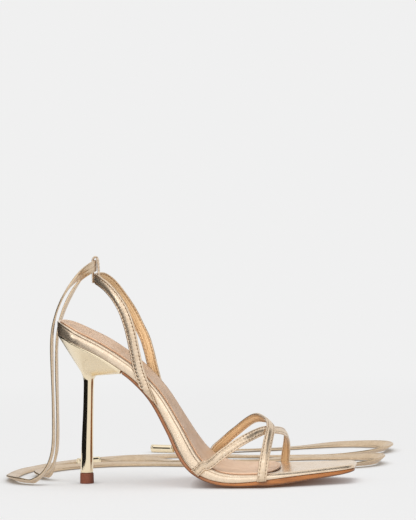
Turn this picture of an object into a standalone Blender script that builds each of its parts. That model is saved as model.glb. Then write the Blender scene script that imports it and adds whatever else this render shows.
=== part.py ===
"""Strappy stiletto heel, right shoe.

The origin is the centre of the heel tip's flat bottom. +X points to the toe, +Z up, and +Y to the
medial (inner) side. Tables and dimensions are in millimetres, and MM turns them into metres.
"""

from bisect import bisect_right
from collections import namedtuple
from math import ceil, cos, pi, radians, sin, sqrt

import bmesh
import bpy
from mathutils import Quaternion, Vector

MM = 0.001

# Driving dimensions, in millimetres.
GAP = 0.3  # between pieces that touch
SEAT_ROUND = 23.0  # length of the round back end of the seat
TOE_ROUND = 5.0  # corner radius of the square toe
TOP_DISH = 0.8  # how far the footbed's middle lies below its edges
SOLE_CROWN = 1.7  # how far the outsole's middle lies below its edges
TREAD_FLAT = 0.45  # the tread is flat where it comes nearer the floor than this
SOLE_INSET = 0.5  # the outsole's edge inside the footbed's
SOCK_THICKNESS = 0.8
SOCK_BORDER = 2.4  # width of the gold border round the sock
SOCK_FRONT_X = 138.0
LIP_X = 35.0  # front lip of the heel and rear end of the outsole, at the footbed's top edge
SEAT_UPRIGHT = 32.0  # over this length the seat's sections lean from upright to square
SEAT_RIM = 0.6  # upright rim of the heel's cup, at the back
LIP_RIM = 2.2  # and at the front lip
STEM_TOP = 72.0
STEM_CURVE = 5.0  # rise of the stem before it flares into the cup
STEM_PULL = 2.5  # how tightly it turns there: 1 is a plain parabola
TIP_HEIGHT = 7.4
STRAP_THICKNESS = 1.8
TOE_STRAP_WIDTH = 6.8
BAND_WIDTH = 7.6
BAND_THICKNESS = 1.8
TIE_WIDTH = 8.0
TIE_THICKNESS = 1.6
TIE_BEND = 64.0  # the tie turns tightly over this length next to its eye
TIE_TAPER = 14.0  # the tie's ends narrow over this length
TIE_END_WIDTH = 4.6
AGLET_LENGTH = 18.0
AGLET_RADIUS = 2.9

# The last, a row for each station along the footbed's top edge. x and z place the edge, lateral and
# medial are half-widths, and the rest are thicknesses across the slope.
Station = namedtuple("Station", "x z lateral medial footbed outsole")
LAST = [
    Station(-18.3, 116.4, 24.5, 24.5, 9.4, 1.3),  # back of the seat
    Station(-10.0, 113.6, 24.5, 24.5, 8.9, 1.3),
    Station(0.6, 108.2, 24.5, 24.5, 8.4, 1.3),
    Station(15.0, 100.9, 25.0, 24.5, 8.0, 1.3),
    Station(29.0, 91.9, 25.0, 22.5, 7.7, 1.6),
    Station(42.7, 81.0, 24.0, 20.0, 7.3, 1.9),  # just past the heel's front lip
    Station(56.5, 65.6, 24.0, 18.5, 7.2, 2.2),  # shank
    Station(70.3, 42.9, 26.0, 21.5, 8.5, 2.3),
    Station(77.4, 30.2, 29.0, 27.0, 9.6, 2.3),
    Station(83.6, 20.8, 32.5, 33.0, 9.3, 2.2),
    Station(90.5, 14.8, 34.8, 36.0, 8.0, 2.2),
    Station(99.0, 11.0, 36.4, 38.0, 6.6, 2.2),
    Station(109.3, 9.5, 37.3, 38.5, 5.7, 2.3),  # ball
    Station(121.0, 9.4, 37.0, 38.0, 4.9, 2.8),
    Station(134.0, 10.1, 35.0, 35.5, 4.3, 4.0),
    Station(147.0, 10.6, 30.5, 31.5, 3.6, 4.1),
    Station(158.0, 11.2, 26.5, 28.0, 3.3, 3.6),
    Station(169.6, 12.0, 22.0, 24.0, 3.3, 3.3),
    Station(181.0, 12.8, 17.5, 20.0, 3.3, 2.7),
    Station(191.0, 13.6, 13.0, 16.0, 3.0, 1.9),  # toe
]

# Height of the foot's ridge above the floor, where the toe straps lie on it.
Ridge = namedtuple("Ridge", "x z")
RIDGE = [
    Ridge(80.0, 86.0),
    Ridge(98.0, 70.0),
    Ridge(107.0, 62.0),
    Ridge(117.0, 54.5),
    Ridge(125.0, 48.3),
    Ridge(131.0, 44.5),
    Ridge(139.0, 38.3),
    Ridge(150.0, 30.0),
]

# Toe straps. turn goes over the foot from 0 at the lateral edge to 180 at the medial edge, and drop
# runs on down the footbed's side. lift is where one strap passes over the other, and tilt turns the
# strap about its own length, in degrees.
Bend = namedtuple("Bend", "x turn drop lift tilt")
UPPER_STRAP = [
    Bend(127.3, 0, 9.0, 0.0, 0),
    Bend(127.6, 0, 4.5, 0.0, 0),
    Bend(128.2, 0, 0.5, 0.0, 0),
    Bend(129.6, 14, 0.0, 0.0, 0),
    Bend(131.4, 32, 0.0, 0.3, 0),
    Bend(132.4, 49, 0.0, 0.7, 0),
    Bend(132.7, 64, 0.0, 0.7, 0),
    Bend(131.2, 82, 0.0, -0.8, 8),
    Bend(126.4, 102, 0.0, -2.6, 26),
    Bend(118.2, 128, 0.0, -3.6, 34),
    Bend(107.8, 150, 0.0, -3.2, 26),
    Bend(97.8, 165, 0.0, -1.2, 12),
    Bend(89.5, 176, 0.0, 0.0, 0),
    Bend(87.0, 180, 1.0, 0.0, 0),
    Bend(86.4, 180, 7.0, 0.0, 0),
    Bend(86.0, 180, 12.0, 0.0, 0),
]
LOWER_STRAP = [
    Bend(86.6, 0, 12.0, 0.0, 0),
    Bend(87.0, 0, 7.0, 0.0, 0),
    Bend(87.8, 0, 1.0, 0.0, 0),
    Bend(91.0, 2, 0.0, 0.0, 0),
    Bend(99.0, 11, 0.0, 0.0, 0),
    Bend(109.5, 23, 0.0, 0.0, 0),
    Bend(119.8, 37, 0.0, -0.4, 0),
    Bend(127.5, 52, 0.0, -0.7, 0),
    Bend(134.4, 68, 0.0, -1.6, 0),
    Bend(138.6, 84, 0.0, -2.0, 10),
    Bend(140.9, 104, 0.0, -1.9, 24),
    Bend(141.4, 126, 0.0, -0.8, 34),
    Bend(140.4, 150, 0.0, 0.0, 25),
    Bend(139.1, 170, 0.0, 0.0, 9),
    Bend(138.3, 180, 0.5, 0.0, 0),
    Bend(138.0, 180, 4.0, 0.0, 0),
    Bend(137.7, 180, 8.0, 0.0, 0),
]

# The ankle band's middle line. facing is the direction that its outside looks, in degrees round the
# ankle: -90 is lateral, -180 is back and -270 is medial.
Wrap = namedtuple("Wrap", "x y z facing")
ANKLE_BAND = [
    Wrap(50.8, -25.6, 56.0, -90),
    Wrap(48.0, -25.8, 64.6, -90),
    Wrap(45.2, -26.0, 73.0, -90),
    Wrap(42.3, -26.4, 81.6, -90),
    Wrap(39.7, -27.6, 95.7, -92),
    Wrap(36.6, -28.6, 112.0, -95),
    Wrap(32.5, -28.0, 124.4, -102),
    Wrap(27.2, -25.6, 133.4, -112),
    Wrap(20.4, -20.8, 140.4, -128),
    Wrap(14.2, -13.6, 144.2, -147),
    Wrap(10.6, -6.2, 145.4, -166),
    Wrap(9.6, 0.0, 145.6, -180),
    Wrap(10.6, 6.2, 145.6, -194),
    Wrap(13.8, 12.8, 145.0, -213),
    Wrap(18.5, 19.3, 140.4, -230),
    Wrap(24.8, 24.4, 131.0, -245),
    Wrap(31.6, 26.6, 119.6, -255),
    Wrap(36.5, 26.4, 109.3, -262),
    Wrap(40.6, 25.2, 100.8, -266),
    Wrap(43.6, 23.5, 91.2, -269),
    Wrap(45.7, 21.9, 82.6, -270),
    Wrap(47.8, 21.0, 74.0, -270),
    Wrap(51.4, 20.4, 60.0, -270),
]

# Stiletto, a row for each level. back and front are its faces, half is its half-width.
Level = namedtuple("Level", "z back front half")
STEM = [
    Level(TIP_HEIGHT + GAP, -4.5, 4.6, 4.2),
    Level(30.0, -3.1, 5.1, 3.9),
    Level(52.0, -1.6, 5.8, 3.6),
    Level(66.0, -0.9, 6.3, 3.5),
    Level(STEM_TOP, -0.7, 6.6, 3.5),
]
TIP = [
    Level(0.0, -4.9, 5.0, 4.6),
    Level(TIP_HEIGHT, -4.7, 4.9, 4.5),
]

# The keeper at the centre back of the ankle band: two legs over the band's top edge, and an eye
# above it that holds the tie. Its middle line, in the plane of the shoe's length.
Fold = namedtuple("Fold", "x z")
BAND_BACK = 9.6
BAND_TOP = 149.4
EYE_Z = 155.4
LOOP_WIDTH = 5.0
LOOP_THICKNESS = 1.2
TIE_LOOP = [
    Fold(BAND_BACK - 1.9, BAND_TOP - 7.0),
    Fold(BAND_BACK - 1.9, BAND_TOP - 1.0),
    Fold(BAND_BACK - 2.0, EYE_Z),
    Fold(BAND_BACK - 1.5, EYE_Z + 4.2),
    Fold(BAND_BACK, EYE_Z + 5.4),
    Fold(BAND_BACK + 1.5, EYE_Z + 4.2),
    Fold(BAND_BACK + 2.1, EYE_Z),
    Fold(BAND_BACK + 2.3, BAND_TOP - 1.0),
    Fold(BAND_BACK + 2.3, BAND_TOP - 7.0),
]

# The tie's two free ends. Each leaves the eye, falls behind the seat, and lies on the floor.
FLOOR = TIE_THICKNESS / 2 + 0.1
AGLET_Z = AGLET_RADIUS + 0.1
Route = namedtuple("Route", "x y z")
TIE_FALL = [
    Route(BAND_BACK, GAP / 2, EYE_Z - 0.7),
    Route(9.3, 7.4, 154.5),
    Route(7.6, 14.0, 153.6),
    Route(3.6, 19.8, 151.0),
    Route(-1.8, 23.2, 146.4),
    Route(-7.4, 24.0, 139.8),
    Route(-12.4, 22.4, 131.6),
    Route(-16.6, 19.4, 122.2),
    Route(-19.6, 15.8, 112.0),
    Route(-21.0, 12.8, 101.0),
    Route(-21.4, 10.8, 87.0),
    Route(-21.4, 10.0, 66.0),
    Route(-21.4, 10.0, 46.0),
    Route(-21.7, 10.0, 32.0),
]
LATERAL_FLOOR = [
    Route(-23.4, -10.0, 20.6),
    Route(-27.4, -10.0, 11.4),
    Route(-33.6, -9.4, 4.6),
    Route(-41.0, -7.2, 1.4),
    Route(-48.4, -2.0, FLOOR),
    Route(-54.2, 7.0, FLOOR),
    Route(-57.4, 20.0, FLOOR),
    Route(-57.4, 42.0, FLOOR),
    Route(-51.6, 68.0, FLOOR),
    Route(-37.6, 96.0, FLOOR),
    Route(-16.0, 120.0, FLOOR),
    Route(12.0, 137.0, FLOOR),
    Route(44.0, 145.0, FLOOR),
    Route(78.0, 145.0, FLOOR),
    Route(112.0, 140.0, FLOOR),
    Route(146.0, 139.0, FLOOR),
    Route(174.0, 144.0, FLOOR),
    Route(194.0, 154.0, FLOOR),
    Route(205.0, 171.0, FLOOR),
    Route(203.0, 189.0, FLOOR),
    Route(189.0, 201.0, FLOOR),
    Route(166.0, 204.0, FLOOR),
    Route(138.0, 195.0, FLOOR),
    Route(108.0, 183.0, FLOOR),
    Route(80.0, 175.0, FLOOR),
    Route(54.0, 175.0, FLOOR + 0.6),
    Route(42.0, 178.0, AGLET_Z),
]
MEDIAL_FLOOR = [
    Route(-22.9, 11.0, 20.8),
    Route(-25.8, 13.8, 11.6),
    Route(-30.2, 18.4, 4.8),
    Route(-35.2, 24.6, 1.4),
    Route(-39.4, 33.0, FLOOR),
    Route(-41.0, 45.0, FLOOR),
    Route(-37.6, 61.0, FLOOR),
    Route(-26.4, 77.0, FLOOR),
    Route(-6.0, 90.0, FLOOR),
    Route(20.0, 96.0, FLOOR),
    Route(52.0, 94.0, FLOOR),
    Route(84.0, 86.0, FLOOR),
    Route(116.0, 77.0, FLOOR),
    Route(148.0, 71.0, FLOOR),
    Route(177.0, 73.0, FLOOR),
    Route(196.0, 82.0, FLOOR),
    Route(204.0, 97.0, FLOOR),
    Route(199.0, 112.0, FLOOR),
    Route(184.0, 121.0, FLOOR),
    Route(160.0, 125.0, FLOOR),
    Route(132.0, 122.0, FLOOR),
    Route(104.0, 111.0, FLOOR),
    Route(76.0, 106.0, FLOOR),
    Route(48.0, 114.0, FLOOR),
    Route(22.0, 122.0, FLOOR),
    Route(4.0, 117.0, FLOOR + 0.6),
    Route(-6.0, 110.0, AGLET_Z),
]

Finish = namedtuple("Finish", "color roughness metallic")
FINISHES = {
    "outsole": Finish((0.30, 0.12, 0.05), 0.5, 0.0),
    "footbed": Finish((0.78, 0.62, 0.42), 0.35, 0.9),
    "sock": Finish((0.66, 0.43, 0.31), 0.6, 0.0),
    "heel": Finish((0.83, 0.66, 0.42), 0.08, 1.0),
    "heel_tip": Finish((0.17, 0.05, 0.03), 0.6, 0.0),
    "toe_straps": Finish((0.78, 0.62, 0.42), 0.35, 0.9),
    "ankle_band": Finish((0.78, 0.62, 0.42), 0.35, 0.9),
    "tie_loop": Finish((0.78, 0.62, 0.42), 0.35, 0.9),
    "tie_lateral": Finish((0.62, 0.48, 0.31), 0.35, 0.9),
    "tie_medial": Finish((0.62, 0.48, 0.31), 0.35, 0.9),
    "aglet_lateral": Finish((0.80, 0.62, 0.34), 0.15, 1.0),
    "aglet_medial": Finish((0.80, 0.62, 0.34), 0.15, 1.0),
}


class Curve:
    """A smooth curve through the rows of a table, read by the distance along it."""

    def __init__(self, rows, key):
        self.rows = rows
        self.at = [0.0]
        for a, b in zip(rows, rows[1:]):
            self.at.append(self.at[-1] + (key(b) - key(a)).length)

    @property
    def length(self):
        return self.at[-1]

    def read(self, distance):
        """The row there, between its neighbours by a Hermite cubic in each column."""
        i = min(max(bisect_right(self.at, distance) - 1, 0), len(self.rows) - 2)
        span = self.at[i + 1] - self.at[i]
        t = (distance - self.at[i]) / span
        columns = []
        for column in range(len(self.rows[0])):
            a, b = self.rows[i][column], self.rows[i + 1][column]
            slope_a = self.slope(i, column) * span
            slope_b = self.slope(i + 1, column) * span
            columns.append(
                a * (1 + 2 * t) * (1 - t) ** 2
                + slope_a * t * (1 - t) ** 2
                + b * t * t * (3 - 2 * t)
                + slope_b * t * t * (t - 1)
            )
        return type(self.rows[0])(*columns)

    def slope(self, i, column):
        lo, hi = max(i - 1, 0), min(i + 1, len(self.rows) - 1)
        rise = self.rows[hi][column] - self.rows[lo][column]
        return rise / (self.at[hi] - self.at[lo])

    def steps(self, spacing):
        count = ceil(self.length / spacing)
        return [self.length * i / count for i in range(count + 1)]


BED = Curve(LAST, lambda row: Vector((row.x, 0, row.z)))
RIDGE_LINE = Curve(RIDGE, lambda row: Vector((row.x, 0, 0)))


def station_at_x(x):
    """The distance along the footbed at which its top edge reaches x."""
    low, high = 0.0, BED.length
    for _ in range(40):
        middle = (low + high) / 2
        if BED.read(middle).x < x:
            low = middle
        else:
            high = middle
    return (low + high) / 2


def bed_up(s):
    """The direction square to the footbed's top line, towards the foot."""
    a, b = BED.read(max(s - 0.5, 0)), BED.read(min(s + 0.5, BED.length))
    along = Vector((b.x - a.x, 0, b.z - a.z)).normalized()
    square = Vector((-along.z, 0, along.x))
    upright = Vector((0, 0, 1))
    return upright.lerp(square, min(s / SEAT_UPRIGHT, 1.0)).normalized()


def bed_point(s, y, depth):
    row = BED.read(s)
    return Vector((row.x, y, row.z)) - depth * bed_up(s)


def rounded(width, distance, length, amount):
    """width less what a round end takes off it, at this distance from the end."""
    if distance >= length:
        return width
    return width - amount * (1 - sqrt(max(0.0, 1 - (1 - distance / length) ** 2)))


def half_widths(s, inset=0.0):
    """(lateral, medial) half-widths of the footbed's outline, less an inset."""
    row = BED.read(s)
    widths = []
    for side in (row.lateral, row.medial):
        width = rounded(side - inset, s - inset, SEAT_ROUND - inset, side - inset)
        widths.append(rounded(width, BED.length - inset - s, TOE_ROUND, TOE_ROUND))
    return widths


def end_steps(length, count):
    """Distances from a round end, closer together where the outline turns."""
    return [length * (1 - cos(pi / 2 * (i + 0.6) / (count + 0.6))) for i in range(count)]


def seat_stations(last):
    """Stations from the back of the seat to the given one."""
    regular = [SEAT_ROUND + 6.5 * i for i in range(60)]
    return end_steps(SEAT_ROUND, 6) + [s for s in regular if s < last - 2] + [last]


def finish_object(obj, name):
    finish = FINISHES[name]
    material = bpy.data.materials.new(name)
    material.use_nodes = True
    shader = material.node_tree.nodes["Principled BSDF"]
    shader.inputs["Base Color"].default_value = (*finish.color, 1)
    shader.inputs["Roughness"].default_value = finish.roughness
    shader.inputs["Metallic"].default_value = finish.metallic
    obj.data.materials.clear()
    obj.data.materials.append(material)
    obj.data.shade_smooth()
    obj.data.set_sharp_from_angle(angle=radians(35))


def make_object(name, mesh, collection):
    obj = bpy.data.objects.new(name, mesh)
    collection.objects.link(obj)
    finish_object(obj, name)
    return obj


def adopt(obj, name, collection):
    """Takes an object that a primitive operator made into the shoe's collection."""
    for holder in list(obj.users_collection):
        holder.objects.unlink(obj)
    collection.objects.link(obj)
    obj.name = name
    obj.data.name = name
    finish_object(obj, name)


def loft(rings, name, caps=True):
    """A mesh through rings of as many points each, in millimetres, closed at both ends."""
    work = bmesh.new()
    made = [[work.verts.new(point * MM) for point in ring] for ring in rings]
    for a, b in zip(made, made[1:]):
        for i in range(len(a)):
            j = (i + 1) % len(a)
            work.faces.new((a[i], a[j], b[j], b[i]))
    if caps:
        work.faces.new(made[0])
        work.faces.new(reversed(made[-1]))
    bmesh.ops.recalc_face_normals(work, faces=work.faces)
    mesh = bpy.data.meshes.new(name)
    work.to_mesh(mesh)
    work.free()
    return mesh


def slab_ring(s, widths, top, bottom, dish, crown, edge):
    """One section across the sole: over the top, down the medial edge, and back underneath."""
    lateral, medial = widths
    thickness = bottom - top
    corner = min(edge, thickness * 0.45, lateral * 0.5)
    fractions = [-1, -0.62, 0, 0.62, 1]
    ring = []
    for fraction in fractions:
        y = fraction * ((medial if fraction > 0 else lateral) - corner)
        ring.append(bed_point(s, y, top + dish * (1 - fraction**2)))
    for inset, down in ((0.3, 0.3), (0, 1)):
        ring.append(bed_point(s, medial - inset * corner, top + down * corner))
    for inset, up in ((0, 1), (0.3, 0.3)):
        ring.append(bed_point(s, medial - inset * corner, bottom - up * corner))
    for fraction in reversed(fractions):
        y = fraction * ((medial if fraction > 0 else lateral) - corner)
        ring.append(bed_point(s, y, bottom + crown * (1 - fraction**2)))
    for inset, up in ((0.3, 0.3), (0, 1)):
        ring.append(bed_point(s, -lateral + inset * corner, bottom - up * corner))
    for inset, down in ((0, 1), (0.3, 0.3)):
        ring.append(bed_point(s, -lateral + inset * corner, top + down * corner))
    return ring


def build_footbed(collection):
    stations = seat_stations(BED.length - TOE_ROUND)
    stations += [BED.length - d for d in reversed(end_steps(TOE_ROUND, 3))]
    rings = []
    for s in stations:
        thickness = BED.read(s).footbed
        rings.append(slab_ring(s, half_widths(s), 0, thickness, TOP_DISH, 0, edge=1.0))
    make_object("footbed", loft(rings, "footbed"), collection)


def build_outsole(collection):
    start = station_at_x(LIP_X) + GAP
    end = BED.length - SOLE_INSET
    count = 26
    stations = [start + (end - TOE_ROUND - start) * i / count for i in range(count + 1)]
    stations += [end - d for d in reversed(end_steps(TOE_ROUND, 3))]
    rings = []
    for s in stations:
        row = BED.read(s)
        top = row.footbed + GAP
        widths = half_widths(s, SOLE_INSET)
        crown = SOLE_CROWN * min(1.0, (BED.length - s) / 40, (s - start) / 20 + 0.3)
        ring = slab_ring(s, widths, top, top + row.outsole, 0, crown, edge=0.7)
        for point in ring:
            if point.z < TREAD_FLAT:
                point.z = 0.0
        rings.append(ring)
    make_object("outsole", loft(rings, "outsole"), collection)


def build_sock(collection):
    end = station_at_x(SOCK_FRONT_X)
    front = 11.0
    start = SOCK_BORDER
    stations = [start + d for d in end_steps(SEAT_ROUND - start, 5)]
    regular = [SEAT_ROUND + 8.0 * i for i in range(40)]
    stations += [s for s in regular if s < end - front - 3] + [end - front]
    stations += [end - d for d in reversed(end_steps(front, 4))]
    rings = []
    for s in stations:
        widths = [rounded(w, end - s, front, w) for w in half_widths(s, SOCK_BORDER)]
        below = -GAP
        ring = slab_ring(s, widths, below - SOCK_THICKNESS, below, TOP_DISH, TOP_DISH, 0.35)
        rings.append(ring)
    make_object("sock", loft(rings, "sock"), collection)


def stem_ring(level, count):
    """Points round a level of the stiletto: flat in front, round behind, from the centre back."""
    ring = []
    centre = (level.back + level.front) / 2
    reach = (level.front - level.back) / 2
    side = (count - 7) // 2  # points on each side, and seven across the front
    for i in range(side + 1):
        angle = pi - (pi * 0.74) * i / side
        ring.append((centre + reach * cos(angle), -level.half * sin(angle)))
    corner_x, corner_y = ring[-1]
    for i in range(1, 7):
        y = corner_y + (-2 * corner_y) * i / 6
        bulge = (level.front - corner_x) * (1 - (y / corner_y) ** 2)
        ring.append((corner_x + bulge, y))
    for x, y in reversed(ring[1:side]):
        ring.append((x, -y))
    return [Vector((x, y, level.z)) for x, y in ring]


def cup_outline(count, rim):
    """The cup's outline under the seat, in the same order as the stem's rings.
    rim is how much of its upright rim lies above it, from 0 to 1."""
    side = (count - 7) // 2
    lip = station_at_x(LIP_X)
    stations = [lip * (1 - cos(pi / 2 * (i + 0.25) / side)) for i in range(side)]
    stations.append(lip)
    stations[0] = 0.4
    inset = 0.5

    def spot(s, y):
        depth = SEAT_RIM + (LIP_RIM - SEAT_RIM) * (s / lip) ** 2
        return bed_point(s, y, BED.read(s).footbed + GAP + depth * rim)

    lateral = [spot(s, -half_widths(s, 0)[0] + inset) for s in stations[1:]]
    medial = [spot(s, half_widths(s, 0)[1] - inset) for s in stations[1:]]
    back = spot(stations[0], 0)
    front = []
    for i in range(1, 6):
        front.append(lateral[-1].lerp(medial[-1], i / 6))
    return [back] + lateral + front + list(reversed(medial))


def build_heel(collection):
    count = 35
    rings = [stem_ring(level, count) for level in STEM]
    base = rings[-1]
    rim = cup_outline(count, 1)
    for i in range(1, 15):
        t = i / 14
        parts = (1 - t) ** 2, 2 * t * (1 - t) * STEM_PULL, t * t
        ring = []
        for foot, top in zip(base, rim):
            pull = foot + Vector((0, 0, STEM_CURVE))
            ring.append((foot * parts[0] + pull * parts[1] + top * parts[2]) / sum(parts))
        rings.append(ring)
    rings.append(cup_outline(count, 0))
    mesh = loft(rings, "heel")
    make_object("heel", mesh, collection)


def build_heel_tip(collection):
    rings = [stem_ring(level, 35) for level in TIP]
    make_object("heel_tip", loft(rings, "heel_tip"), collection)


def ribbon_ring(centre, out, across, width, thickness):
    """A section of a strap: a rectangle with its long edges rounded off."""
    half, deep = width / 2, thickness / 2
    corner = deep * 0.7
    ring = []
    for u, v in (
        (-half + corner, deep),
        (half - corner, deep),
        (half, deep - corner),
        (half, -deep + corner),
        (half - corner, -deep),
        (-half + corner, -deep),
        (-half, -deep + corner),
        (-half, deep - corner),
    ):
        ring.append(centre + across * u + out * v)
    return ring


def ribbon(frames, thickness, name):
    """A strap through frames of (centre, outward direction, tilt, width)."""
    rings = []
    for i, (centre, out, tilt, width) in enumerate(frames):
        before = frames[max(i - 1, 0)][0]
        after = frames[min(i + 1, len(frames) - 1)][0]
        along = (after - before).normalized()
        turn = Quaternion(along, tilt)
        across = turn @ along.cross(out).normalized()
        rings.append(ribbon_ring(centre, across.cross(along), across, width, thickness))
    return loft(rings, name)


def foot_point(x, turn, drop):
    """A point on the foot's surface, half a strap and a gap outside the footbed's edge."""
    s = station_at_x(x)
    row = BED.read(s)
    off = GAP + STRAP_THICKNESS / 2
    lateral, medial = half_widths(s)
    turn = min(max(turn, 0.0), 180.0)
    angle = radians(turn)
    y = -cos(angle) * ((lateral if turn < 90 else medial) + off)
    rise = RIDGE_LINE.read(x - RIDGE[0].x).z - row.z
    return bed_point(s, y, max(drop, 0.0)) + Vector((0, 0, rise * sin(angle) ** 0.95))


def foot_normal(x, turn):
    turn = min(max(turn, 1.0), 179.0)
    over = foot_point(x, turn + 1, 0) - foot_point(x, turn - 1, 0)
    ahead = foot_point(x + 1, turn, 0) - foot_point(x - 1, turn, 0)
    return ahead.cross(over).normalized()


def toe_strap(bends, name):
    route = Curve(bends, lambda b: foot_point(b.x, b.turn, b.drop))
    frames = []
    for distance in route.steps(4.0):
        bend = route.read(distance)
        out = foot_normal(bend.x, bend.turn)
        centre = foot_point(bend.x, bend.turn, bend.drop) + out * bend.lift
        frames.append((centre, out, radians(bend.tilt), TOE_STRAP_WIDTH))
    return ribbon(frames, STRAP_THICKNESS, name)


def make_cutter(name, mesh, collection):
    obj = bpy.data.objects.new(name, mesh)
    collection.objects.link(obj)
    obj.hide_render = True
    obj.display_type = "WIRE"
    return obj


def under_sole(name, from_x, to_x, below, collection):
    """A cutter that takes all that lies under the footbed's lower edge, or further below it."""
    start, end = station_at_x(from_x), station_at_x(to_x)
    rings = []
    for i in range(19):
        s = start + (end - start) * i / 18
        top = BED.read(s).footbed + below
        corners = ((-60, top), (60, top), (60, top + 14), (-60, top + 14))
        rings.append([bed_point(s, y, depth) for y, depth in corners])
    return make_cutter(name, loft(rings, name), collection)


def boolean(obj, name, operation, other):
    modifier = obj.modifiers.new(name, "BOOLEAN")
    modifier.operation = operation
    modifier.object = other


def build_toe_straps(collection, cutters):
    straps = make_object("toe_straps", toe_strap(UPPER_STRAP, "toe_straps"), collection)
    lower = make_cutter("lower_strap", toe_strap(LOWER_STRAP, "lower_strap"), cutters)
    under = under_sole("under_toe_straps", 74.0, 150.0, 0.0, cutters)
    boolean(straps, "crossing", "UNION", lower)
    boolean(straps, "lower ends", "DIFFERENCE", under)


def build_ankle_band(collection, cutters):
    route = Curve(ANKLE_BAND, lambda w: Vector((w.x, w.y, w.z)))
    frames = []
    for distance in route.steps(4.5):
        wrap = route.read(distance)
        facing = radians(wrap.facing)
        out = Vector((cos(facing), sin(facing), 0))
        frames.append((Vector((wrap.x, wrap.y, wrap.z)), out, 0.0, BAND_WIDTH))
    band = make_object("ankle_band", ribbon(frames, BAND_THICKNESS, "ankle_band"), collection)
    under = under_sole("under_ankle_band", 38.0, 74.0, GAP + 1.2, cutters)
    boolean(band, "lower ends", "DIFFERENCE", under)


def build_tie_loop(collection):
    route = Curve(TIE_LOOP, lambda f: Vector((f.x, 0, f.z)))
    rings = []
    steps = route.steps(1.6)
    for i, distance in enumerate(steps):
        before = route.read(steps[max(i - 1, 0)])
        after = route.read(steps[min(i + 1, len(steps) - 1)])
        here = route.read(distance)
        along = Vector((after.x - before.x, 0, after.z - before.z)).normalized()
        out = Vector((-along.z, 0, along.x)) * (LOOP_THICKNESS / 2)
        side = Vector((0, LOOP_WIDTH / 2, 0))
        centre = Vector((here.x, 0, here.z))
        outer, inner = centre + out, centre - out
        rings.append([outer + side, outer - side, inner - side, inner + side])
    make_object("tie_loop", loft(rings, "tie_loop"), collection)


def tie_outward(z):
    """The way the tie's outer face looks: back while it hangs, up once it lies on the floor."""
    lying = 1 - min(max((z - FLOOR) / 12, 0.0), 1.0)
    return Vector((-1, 0, 0)).lerp(Vector((0, 0, 1)), lying).normalized()


def build_tie_end(side, floor_rows, collection):
    sign = 1 if side == "medial" else -1
    rows = [Route(row.x, row.y * sign, row.z) for row in TIE_FALL] + floor_rows
    route = Curve(rows, lambda row: Vector(row))
    close, wide = route.steps(4.0), route.steps(12.0)
    frames = []
    for distance in [d for d in close if d < TIE_BEND] + [d for d in wide if d > TIE_BEND + 4]:
        spot = Vector(route.read(distance))
        spot.z = max(spot.z, FLOOR)
        narrowing = min((route.length - distance) / TIE_TAPER, 1.0)
        width = TIE_END_WIDTH + (TIE_WIDTH - TIE_END_WIDTH) * narrowing
        frames.append((spot, tie_outward(spot.z), 0.0, width))
    name = "tie_" + side
    make_object(name, ribbon(frames, TIE_THICKNESS, name), collection)

    end, before = Vector(rows[-1]), Vector(route.read(route.length - 4.0))
    along = Vector((end.x - before.x, end.y - before.y, 0)).normalized()
    bpy.ops.mesh.primitive_cylinder_add(
        vertices=24, radius=AGLET_RADIUS * MM, depth=AGLET_LENGTH * MM
    )
    aglet = bpy.context.object
    aglet.location = (end + along * (AGLET_LENGTH / 2 + GAP)) * MM
    aglet.rotation_mode = "QUATERNION"
    aglet.rotation_quaternion = along.to_track_quat("Z", "Y")
    adopt(aglet, "aglet_" + side, collection)


def clean_parts():
    for obj in list(bpy.data.objects):
        bpy.data.objects.remove(obj, do_unlink=True)


def build():
    clean_parts()
    shoe = bpy.data.collections.new("strappy_stiletto_heel")
    cutters = bpy.data.collections.new("cutters")
    cutters.hide_render = True
    bpy.context.scene.collection.children.link(shoe)
    bpy.context.scene.collection.children.link(cutters)
    build_footbed(shoe)
    build_outsole(shoe)
    build_sock(shoe)
    build_heel(shoe)
    build_heel_tip(shoe)
    build_toe_straps(shoe, cutters)
    build_ankle_band(shoe, cutters)
    build_tie_loop(shoe)
    build_tie_end("lateral", LATERAL_FLOOR, shoe)
    build_tie_end("medial", MEDIAL_FLOOR, shoe)


build()
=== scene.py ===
from bisect import bisect_right
from functools import lru_cache
from math import ceil, cos, pi, radians, sin, sqrt

import bmesh
import bpy
from mathutils import Matrix, Quaternion, Vector, noise


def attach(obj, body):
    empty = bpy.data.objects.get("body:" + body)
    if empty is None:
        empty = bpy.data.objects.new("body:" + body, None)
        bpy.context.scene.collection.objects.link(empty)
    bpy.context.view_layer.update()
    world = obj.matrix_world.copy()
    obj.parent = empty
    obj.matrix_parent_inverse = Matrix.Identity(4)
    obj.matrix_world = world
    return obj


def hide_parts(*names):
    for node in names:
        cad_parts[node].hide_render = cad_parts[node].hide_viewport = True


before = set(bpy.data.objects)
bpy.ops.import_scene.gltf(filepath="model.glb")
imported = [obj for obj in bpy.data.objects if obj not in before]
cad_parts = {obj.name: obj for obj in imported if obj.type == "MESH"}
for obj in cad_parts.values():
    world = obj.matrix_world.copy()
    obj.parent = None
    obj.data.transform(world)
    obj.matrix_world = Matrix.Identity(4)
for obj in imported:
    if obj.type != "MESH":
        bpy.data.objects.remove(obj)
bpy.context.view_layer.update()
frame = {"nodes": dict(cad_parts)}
mm = 0.001
print("frame loaded")

cameraLook = {
    "aim": (87.7, 18.8, 156.3),  # mm
    "elevation": 3.5,  # degrees
    "yaw": 6.0,
    "roll": 1.2,
    "distance": 2.4,  # m
    "lens": 234.0,
}


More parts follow.
